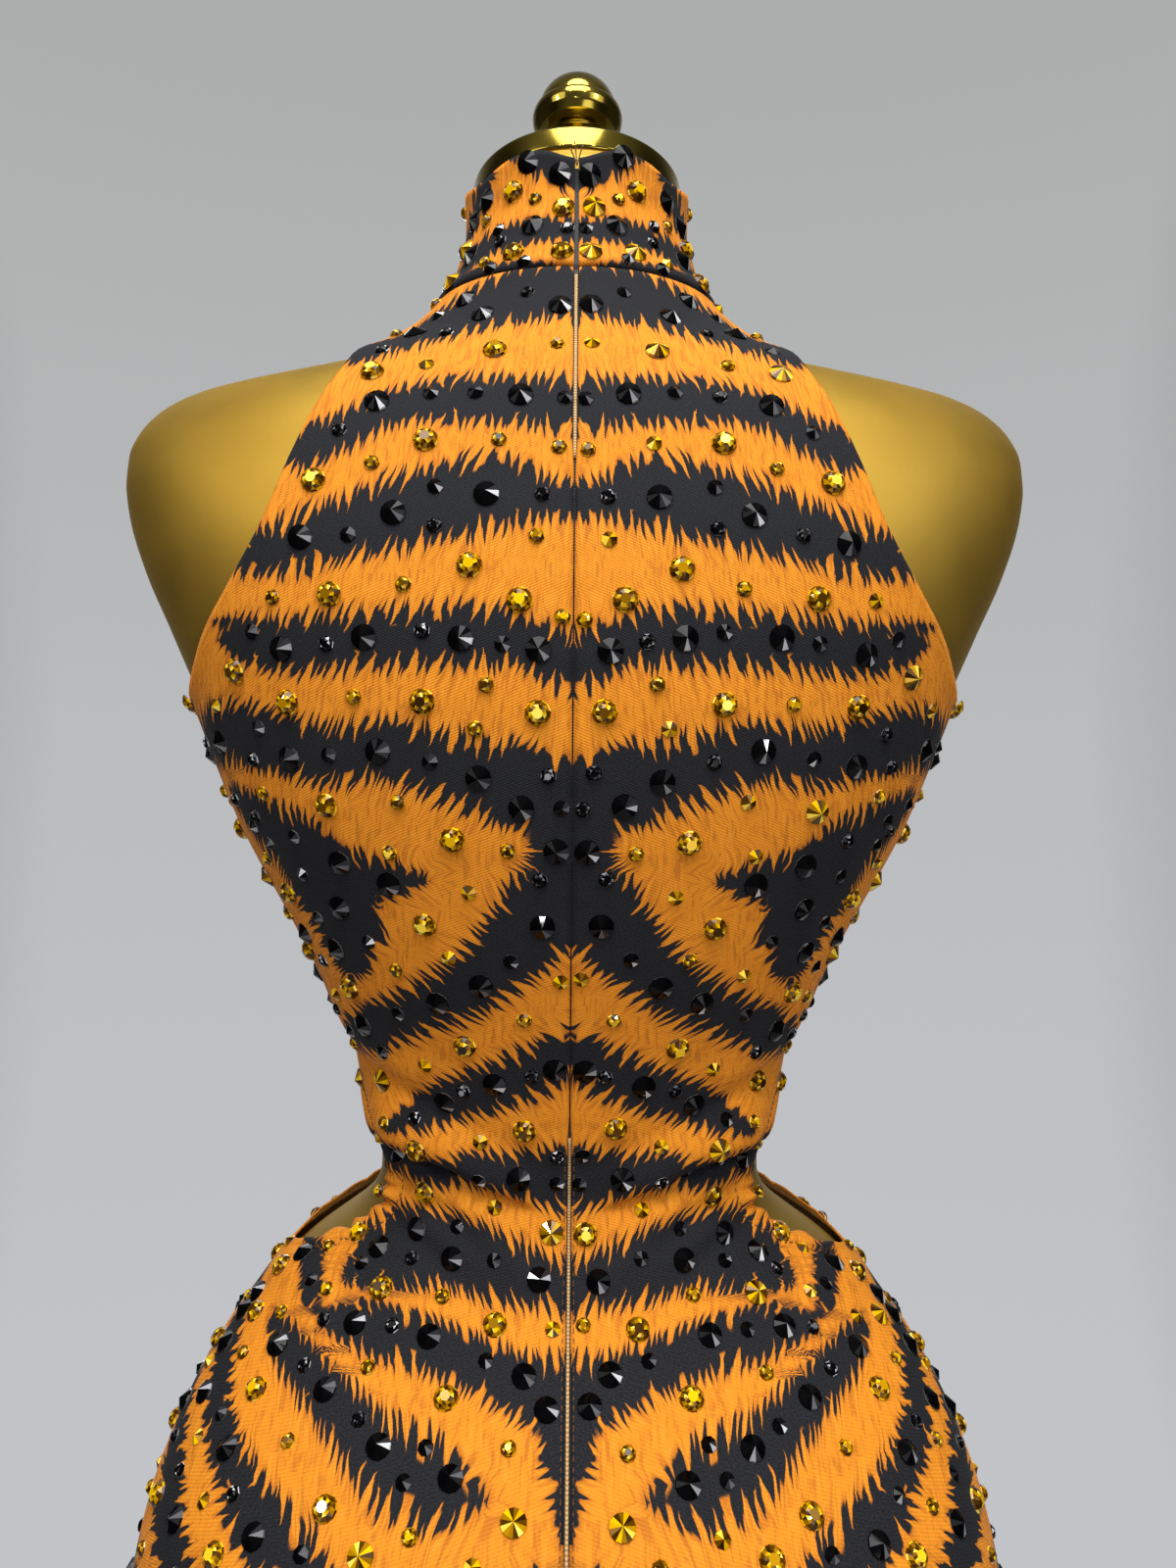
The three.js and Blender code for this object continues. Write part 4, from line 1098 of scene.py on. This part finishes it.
def zipTape():
    # the tape behind the opening, from the collar's notch to the zip's end
    collarPart = np.column_stack([np.zeros(collar["levels"] + 1), collarSurface[:, 0, 1], collarLevel[:, 0]])
    path = np.vstack([collarPart[::-1][2:], centrePath(tape["top"], tape["end"], 4, 0)])
    wide = tape["halfWidth"]
    corners = [(-wide, tape["back"]), (wide, tape["back"]), (wide, tape["front"]), (-wide, tape["front"])]
    points = path[:, None] + np.array([(x, y, 0) for x, y in corners])
    return meshObject("backZipTape", points.reshape(-1, 3), tubeFaces(len(path), 4), [darkTape],
                      merge=0.00001, smooth=False)


onBody(zipTape(), "zip_tape", "back_zip")
for name, high, low, radius in (("zipCordUpper", 1425, 1334, 0.75), ("zipCordLower", 1070, 888, 0.7)):
    onBody(tubeMesh(name, centrePath(high, low, 3, -0.75), radius, 8, cordThread), "zip_tape")

for number, (lean, rise) in enumerate(((-1.6, 5.0), (0.7, 6.5), (1.9, 3.6))):
    # loose ends of thread in the collar's notch
    shares = np.linspace(0, 1, 8)[:, None]
    path = collarSurface[-1, 0] * [0, 1, 1] + [0, -0.8, -3] + shares * [lean, 0.6, rise + 3]
    path = path + shares ** 2 * [lean * 0.6, 1.2, 0]
    onBody(tubeMesh(f"threadEnd{number}", path, 0.32, 6, brownThread), "zip_tape")


def stitchRow(name, places, normals, length, thick):
    # short dashes of thread that follow a line of places
    run = np.concatenate([[0], np.cumsum(np.linalg.norm(np.diff(places, axis=0), axis=1))])
    points, faces = [], []
    start = 0.4
    while start + length < run[-1]:
        ends = [np.array([np.interp(start + d, run, places[:, k]) for k in range(3)]) for d in (0, length)]
        out = unit(np.array([np.interp(start + length / 2, run, normals[:, k]) for k in range(3)]))
        side = np.cross(unit(ends[1] - ends[0]), out)
        faces += [[len(points) + k for k in face] for face in tubeFaces(4, 4)]
        for share, lift, wide in ((0, -0.25, 0.5), (0.2, 0.12, 1), (0.8, 0.12, 1), (1, -0.25, 0.5)):
            spine = ends[0] * (1 - share) + ends[1] * share + out * lift
            for dx, dy in ((-1, 0), (0, 0.8), (1, 0), (0, -0.8)):
                points.append(spine + (side * dx + out * dy) * thick / 2 * wide)
        start += length + 1.1
    thing = meshObject(name, points, faces, [brownThread], merge=0.000001, smooth=False)
    return onBody(thing, "zip_tape")


sewing = {"cutout": (2.0, 0.5), "hem": (2.2, 0.45), "zip": (2.4, 0.4)}
cutoutLine = np.arange(cutoutBottom + 4, cutoutTop - 3, 1.5)
for side, panel in panels.items():
    for half, flip in halves.items():
        reach = np.interp(panel.rowOf(cutoutLine), np.arange(len(panel.rows)), panel.around[:, -1])
        lines = {f"{side}CutoutStitches{half}": ("cutout", cutoutLine, reach - gather["stitchLine"])}
        hemLine = np.linspace(2, quarterLength(hemZ, side == "back") - 2, 90)
        for number, up in enumerate((hemTurn, hemTurn - 4)):
            lines[f"{side}Hem{half}{number}"] = ("hem", np.full(90, hemZ + up), hemLine)
        for name, (kind, zs, around) in lines.items():
            places, normals = panel.place(zs, around)
            stitchRow(name, (places + normals * 0.15) * flip, normals * flip, *sewing[kind])
for half, flip in halves.items():
    zs = np.arange(1068, 888, -1.5)
    places, normals = back.place(zs, np.full(len(zs), 1.9))
    stitchRow(f"zipStitches{half}", (places + normals * 0.1) * flip, normals * flip, *sewing["zip"])
print("sewing")


# ---- rhinestones ----
def cutStone(radius, height, sides, brilliant):
    # a girdle wall and crown, then facets to one point; or kites, a broken ring and a flat table
    rings = [(0.97, 0.0, 0), (1, 0.35, 0)]
    if brilliant:
        rings += [(0.93, height * 0.34, 0), (0.68, height * 0.78, 0.5), (0.4, height, 0)]
    else:
        rings += [(0.96, height * 0.3, 0)]
    points = [(radius * r * math.cos(2 * math.pi * (k + turn) / sides),
               radius * r * math.sin(2 * math.pi * (k + turn) / sides), h)
              for r, h, turn in rings for k in range(sides)]
    # each face: its corners, 1 on the silvered rim, and the number that picks its painted glint or shade tone
    walls = gridFaces(3, sides, closed=True).tolist()
    cuts = [(corners, int(k < sides), k % sides) for k, corners in enumerate(walls)]
    if brilliant:
        for k in range(sides):
            a, b, c, d = [ring * sides + (k + step) % sides for ring in (2, 3) for step in (0, 1)]
            cuts += [([a, b, c], 0, k + 100), ([b, d, c], 0, k + 103)]
        for k in range(sides):
            a, b = 3 * sides + k, 3 * sides + (k + 1) % sides
            c, d = 4 * sides + (k + 1) % sides, 4 * sides + k
            cuts += [([a, b, c], 0, sides + k), ([a, c, d], 0, sides + k + 3)]
        cuts.append(([4 * sides + k for k in range(sides)], 0, 5))
    else:
        points.append((0, 0, height))
        cuts += [([2 * sides + k, 2 * sides + (k + 1) % sides, 3 * sides], 0, k) for k in range(sides)]
    cuts.append((list(range(sides))[::-1], 1, 0))
    return np.array(points), cuts, sides


stoneSizes = {"large": 5.0, "small": 3.2}
# each shape: its height, number of sides, and whether it is a brilliant or a cone
stoneShapes = {
    ("black", "large"): [(3.5, 12, False)],
    ("black", "small"): [(2.4, 8, False), (2.1, 8, True)],
    ("amber", "large"): [(3.6, 12, True), (3.5, 14, False), (3.3, 14, True), (3.5, 16, True)],
    ("amber", "small"): [(2.5, 8, True), (2.4, 10, True), (2.5, 8, False)],
}
for (colour, size), shapes in stoneShapes.items():
    stoneShapes[(colour, size)] = [cutStone(stoneSizes[size], *shape) for shape in shapes]
# least distances of strewn stones, and how deep in a stripe or band and far from an edge they lie
strewing = {"black": 13.4, "amber": 17.6, "apart": 10.8, "inDark": 3.4, "inOrange": 4.0, "large": 5.6,
            "edge": 6.0, "deep": 14}


# Stones that show on the back's left half: distance round from the centre back, height. The right half
# has nearly the same. The rest of the body gets them strewn along its stripes.
stoneChart = {
    ("black", "large"): [
        (20, 1481), (5, 1474), (41, 1472), (52, 1466), (18, 1449), (50, 1445), (6, 1407), (47, 1417),
        (37, 1405), (66, 1397), (21, 1361), (76, 1359), (104, 1305), (68, 1313), (33, 1320), (111, 1264),
        (77, 1267), (42, 1266), (13, 1262), (111, 1223), (73, 1225), (35, 1215), (19, 1204), (5, 1188),
        (92, 1183), (71, 1175), (94, 1165), (101, 1147), (11, 1159), (35, 1135), (53, 1127), (91, 1114),
        (6, 1100), (30, 1093), (52, 1083), (123, 1152), (152, 1231), (78, 1055), (20, 1053), (65, 1024),
        (82, 1015), (47, 1016), (12, 1011), (123, 1005), (87, 991), (56, 990), (17, 980), (8, 971),
        (123, 979), (96, 971), (71, 959), (43, 953), (139, 949), (117, 931), (161, 925), (166, 957),
        (152, 988), (160, 981), (162, 971),
    ],
    ("black", "small"): [
        (4, 1447), (34, 1453), (33, 1445), (21, 1431), (36, 1430), (19, 1415), (61, 1410), (51, 1394),
        (77, 1385), (55, 1362), (38, 1362), (3, 1360), (90, 1347), (85, 1305), (52, 1323), (52, 1308),
        (12, 1320), (126, 1271), (93, 1265), (56, 1269), (26, 1264), (125, 1235), (93, 1224), (53, 1221),
        (130, 1223), (9, 1216), (2, 1204), (135, 1201), (112, 1193), (111, 1178), (108, 1160), (82, 1151),
        (12, 1177), (23, 1145), (71, 1121), (81, 1103), (15, 1097), (43, 1089), (64, 1076), (112, 1141),
        (139, 1197), (130, 1190), (112, 1119), (103, 1110), (63, 1057), (48, 1053), (35, 1052), (5, 1062),
        (5, 1050), (46, 1028), (66, 1014), (30, 1017), (92, 1009), (113, 1000), (103, 990), (71, 992),
        (32, 984), (108, 976), (81, 965), (53, 960), (60, 951), (147, 956), (166, 936), (130, 939),
        (96, 930),
    ],
    ("amber", "large"): [
        (26, 1469), (6, 1457), (26, 1437), (6, 1435), (31, 1383), (80, 1373), (56, 1452), (60, 1434),
        (99, 1327), (57, 1342), (91, 1283), (39, 1293), (20, 1280), (134, 1257), (110, 1244), (56, 1243),
        (13, 1239), (95, 1205), (45, 1192), (57, 1159), (96, 1130), (42, 1109), (87, 1087), (18, 1073),
        (60, 1065), (124, 1170), (61, 1041), (7, 1029), (97, 1017), (78, 1003), (29, 995), (137, 999),
        (145, 984), (131, 966), (47, 973), (90, 942), (19, 943), (134, 923), (182, 925), (176, 969),
    ],
    ("amber", "small"): [
        (17, 1463), (41, 1460), (7, 1386), (58, 1376), (40, 1435), (70, 1424), (82, 1404), (77, 1333),
        (29, 1342), (6, 1339), (114, 1283), (64, 1286), (14, 1304), (3, 1274), (149, 1245), (82, 1245),
        (32, 1249), (36, 1233), (126, 1210), (66, 1206), (70, 1187), (24, 1188), (39, 1172), (47, 1146),
        (70, 1140), (2, 1137), (18, 1121), (60, 1099), (36, 1068), (85, 1063), (135, 1184), (104, 1103),
        (110, 1126), (78, 1073), (86, 1034), (30, 1038), (110, 1010), (51, 1003), (103, 999), (6, 994),
        (126, 988), (79, 979), (144, 973), (109, 956), (158, 947), (22, 961), (146, 934), (56, 938),
        (163, 984), (173, 963),
    ],
}


def chartedStones(loose):
    placed = []
    for (colour, size), chart in stoneChart.items():
        for around, z in chart:
            around = max(around + dice.uniform(-loose, loose), stoneSizes[size] + 0.8)
            z += dice.uniform(-loose, loose)
            if z > neckSeam["back"] + 1:
                i = np.argmin(np.hypot(collarAround - around, collarLevel - z))
                place, normal = collarSurface.reshape(-1, 3)[i], collarNormals.reshape(-1, 3)[i]
            else:
                place, normal = [part[0] for part in back.place(np.array([z]), np.array([around]))]
            placed.append((place, normal, colour, size))
    return placed


def scatterStones(places, normals, stripe, room, taken):
    # picks stone places, the most central of each stripe and band first
    found = []
    cells = defaultdict(list)
    cell = 21.0

    def cellOf(p):
        return tuple((p // cell).astype(int))

    for p, _, colour, size in taken:
        cells[cellOf(p)].append((p, colour, size))
    order = np.argsort(-np.minimum(np.abs(stripe), strewing["deep"]) + dice.random(len(stripe)) * 5)
    for i in order:
        depth = abs(stripe[i])
        colour = "black" if stripe[i] < 0 else "amber"
        if depth < strewing["inDark" if stripe[i] < 0 else "inOrange"] or room[i] < strewing["edge"]:
            continue
        p = places[i]
        x, y, z = cellOf(p)
        nearest, nearestSize = 1e9, None
        for dx, dy, dz in product((-1, 0, 1), repeat=3):
            for q, otherColour, otherSize in cells.get((x + dx, y + dy, z + dz), ()):
                away = math.dist(p, q)
                if away < strewing[colour if otherColour == colour else "apart"]:
                    nearest = -1
                    break
                if otherColour == colour and away < nearest:
                    nearest, nearestSize = away, otherSize
            if nearest < 0:
                break
        if nearest < 0:
            continue
        size = "small" if nearestSize == "large" or depth < strewing["large"] else "large"
        cells[(x, y, z)].append((p, colour, size))
        found.append((p, normals[i], colour, size))
    return found


def stoneCandidates():
    # grid points with their normals, depth in the print and room to the nearest edge or charted place
    parts = []
    for side, panel in panels.items():
        room = np.minimum(panel.around + (0.5 if side == "back" else 8), panel.edgeRoom)
        room = np.minimum(room, panel.height - hemZ - 6)
        room = np.minimum(room, (neckSeam["side"] - panel.rows)[:, None])
        if side == "back":
            girths = np.array([quarterLength(z, True) for z in panel.rows])[:, None]
            room = np.where((panel.height > 940) & (panel.around < 0.72 * girths), 0, room)
        parts.append((panel.surface, panel.normals, panel.stripe, room))
    share = np.linspace(0, 1, collar["levels"] + 1)[:, None]
    room = np.minimum(collarAround, np.minimum(share, 1 - share) * collar["height"] + 1.0)
    parts.append((collarSurface, collarNormals, collarFields["stripe"], np.where(collarAround < 64, 0, room)))
    shapes = [(-1, 3), (-1, 3), -1, -1]
    return [np.concatenate([grid.reshape(shape) for grid in grids])
            for grids, shape in zip(zip(*parts), shapes)]


candidates = stoneCandidates()
charted = chartedStones(0)
strewn = scatterStones(*candidates, charted)
stones = {"Left": charted + strewn, "Right": chartedStones(1.4) + strewn}


def paintedBlackGlint(facet, wedge, shine, sides):
    # painted glint: one facet is painted shining, the next one painted grey, and the rest are dark
    return {0: shine, 1: 0.88}.get((facet - wedge) % sides, 0.3)


# painted glints: facets get bright and dark tones at random, and the outer ring of the crown is painted
# darker as shade
def paintedAmberGlint(facet, bright):
    return ((facet * 37 + bright * 11) % 53) / 53 * (0.66 if facet >= 100 else 1)


def buildStones(colour, half):
    points, faces, rims, facets = [], [], [], []
    base = 0
    pick = random.Random(5 if half == "Right" else 6)
    for place, normal, stoneColour, size in stones[half]:
        if stoneColour != colour:
            continue
        shape, cuts, sides = pick.choice(stoneShapes[(colour, size)])
        up = Vector(normal) + Vector([pick.uniform(-0.05, 0.05) for _ in range(3)])
        up = Vector(halves[half] * np.array(up)).normalized()
        centre = place * halves[half]
        turn = up.to_track_quat("Z", "Y").to_matrix() @ Matrix.Rotation(pick.uniform(0, 6.28), 3, "Z")
        points.append(shape @ np.array(turn).T + centre + np.array(up) * -0.1)
        bright = pick.randrange(60)
        # the facet that points towards the light is painted shining, as a painted glint
        glint = math.radians(-52 + 0.32 * centre[0] + pick.uniform(-22, 22))
        towards = np.array([-math.cos(glint), 0, math.sin(glint)]) @ np.array(turn)
        wedge = int(math.atan2(towards[1], towards[0]) / (2 * math.pi) * sides) % sides
        shine = pick.choice((0.93, 0.93, 0.95, 0.97, 1.0))
        for corners, rim, facet in cuts:
            faces.append([base + k for k in corners])
            rims.append(rim)
            dark = colour == "black"
            facets.append(paintedBlackGlint(facet, wedge, shine, sides) if dark else paintedAmberGlint(facet, bright))
        base += len(shape)
    thing = meshObject(f"{colour}Stones{half}", np.concatenate(points), faces, [stoneTones[colour], stoneRim],
                       smooth=False)
    thing.data.polygons.foreach_set("material_index", np.array(rims, dtype=np.int32))
    # the facet attribute carries each face's painted glint or shade tone
    storeValues(thing, "facet", "FACE", facets)
    return onBody(thing, f"{colour}_rhinestone")


for colour, half in product(("black", "amber"), halves):
    buildStones(colour, half)
print("stones", 2 * len(charted), "charted,", 2 * len(strewn), "strewn")


# ---- what each sheet was cut to ----
for name, piece in sheets.items():
    panel = panels["back" if name.startswith("back") else "front"]
    rowsApart = np.linalg.norm(np.diff(panel.figure[:, 20], axis=0), axis=1)
    reach = panel.around[:, -1]
    area = float((rowsApart * (reach[1:] + reach[:-1]) / 2).sum()) * mm * mm
collarLength = 2 * float(collarAround[10, -1]) * mm


# ---- stage, light and camera ----
bpy.ops.mesh.primitive_circle_add(vertices=96, radius=1.2, fill_type="NGON", location=(0, 0, 0))
floor = bpy.context.object
floor.name = "floor"
floor.data.transform(Matrix.Translation((0, 0, -0.0005)))
floor.data.materials.append(newMaterial("floor", (0.6, 0.6, 0.61), 0.9)[0])
floor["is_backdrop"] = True


def studioWorld():
    # a pale wall before and behind, darker at the sides
    world = bpy.data.worlds.new("studio")
    bpy.context.scene.world = world
    world.use_nodes = True
    tree = world.node_tree
    direction = node(tree, "ShaderNodeTexCoord", out="Generated")
    x, y, z = [node(tree, "ShaderNodeSeparateXYZ", None, direction, out=k) for k in range(3)]
    wall = ramp(z * 0.5 + 0.5, (0.2, (0.55, 0.56, 0.585)), (0.5, (0.5, 0.51, 0.525)),
                (0.8, (0.41, 0.42, 0.415)), (0.97, 0.24))
    beside = ramp(x.maths("ABSOLUTE"), (0.4, 1), (0.8, 0.09))
    behind = ramp(y - z * 0.6, (0.2, 1), (0.75, 0.33))
    tone = mixColour(1.0, mixColour(1.0, wall, beside, "MULTIPLY"), behind, "MULTIPLY")
    setInputs(tree.nodes["Background"], {"Color": tone, "Strength": 1.0})


studioWorld()

# place, height of the target on the axis, size, power, colour
white = (1, 1, 1)
lights = {
    "overhead": ((0, 0.95, 2.9), 1.1, 1.3, 45, white),
    "keyLeft": ((1.6, 1.5, 2.3), 1.15, 1.3, 9, (1, 0.97, 0.93)),
    "keyRight": ((-1.6, 1.5, 2.2), 1.15, 1.3, 8, (0.97, 0.98, 1)),
    "frontFill": ((0.3, -2.2, 1.9), 1.0, 1.2, 18, white),
    "legFill": ((-0.8, 1.6, 0.5), 0.5, 0.9, 6, white),
}
# small lamps that the stones glint in
sparks = [(0.5, 1.6, 2.5), (-0.45, 1.5, 2.4), (0.1, 2.1, 1.7), (-0.9, 0.9, 2.0), (0.95, 0.8, 1.9)]
for number, place in enumerate(sparks):
    lights[f"spark{number}"] = (place, 1.15, 0.07, 2.4, white)
for name, (place, target, size, power, colour) in lights.items():
    data = bpy.data.lights.new(name, "AREA")
    data.shape = "DISK"
    data.size, data.energy, data.color = size, power, colour
    light = bpy.data.objects.new(name, data)
    light.location = place
    light.rotation_euler = (Vector((0, 0, target)) - Vector(place)).to_track_quat("-Z", "Y").to_euler()
    bpy.context.scene.collection.objects.link(light)

camera = {"place": (0, 0.530, 1.197), "pitch": 2.0, "roll": 0.44, "focus": 1202, "frame": (1200, 1600),
          "centre": 584}
lens = bpy.data.cameras.new("camera")
lens.sensor_fit = "VERTICAL"
lens.sensor_height = 36
lens.lens = 36 * camera["focus"] / camera["frame"][1]
lens.shift_x = (camera["frame"][0] / 2 - camera["centre"]) / camera["frame"][1]
eye = bpy.data.objects.new("camera", lens)
facing = Matrix.Rotation(math.pi, 4, "Z") @ Matrix.Rotation(math.radians(90 + camera["pitch"]), 4, "X")
rolled = Matrix.Rotation(math.radians(camera["roll"]), 4, "Z")
eye.matrix_world = Matrix.Translation(camera["place"]) @ facing @ rolled
bpy.context.scene.collection.objects.link(eye)
bpy.context.scene.camera = eye
bpy.context.scene.view_settings.view_transform = "Standard"
print("stage")

bpy.context.view_layer.update()
low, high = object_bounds()
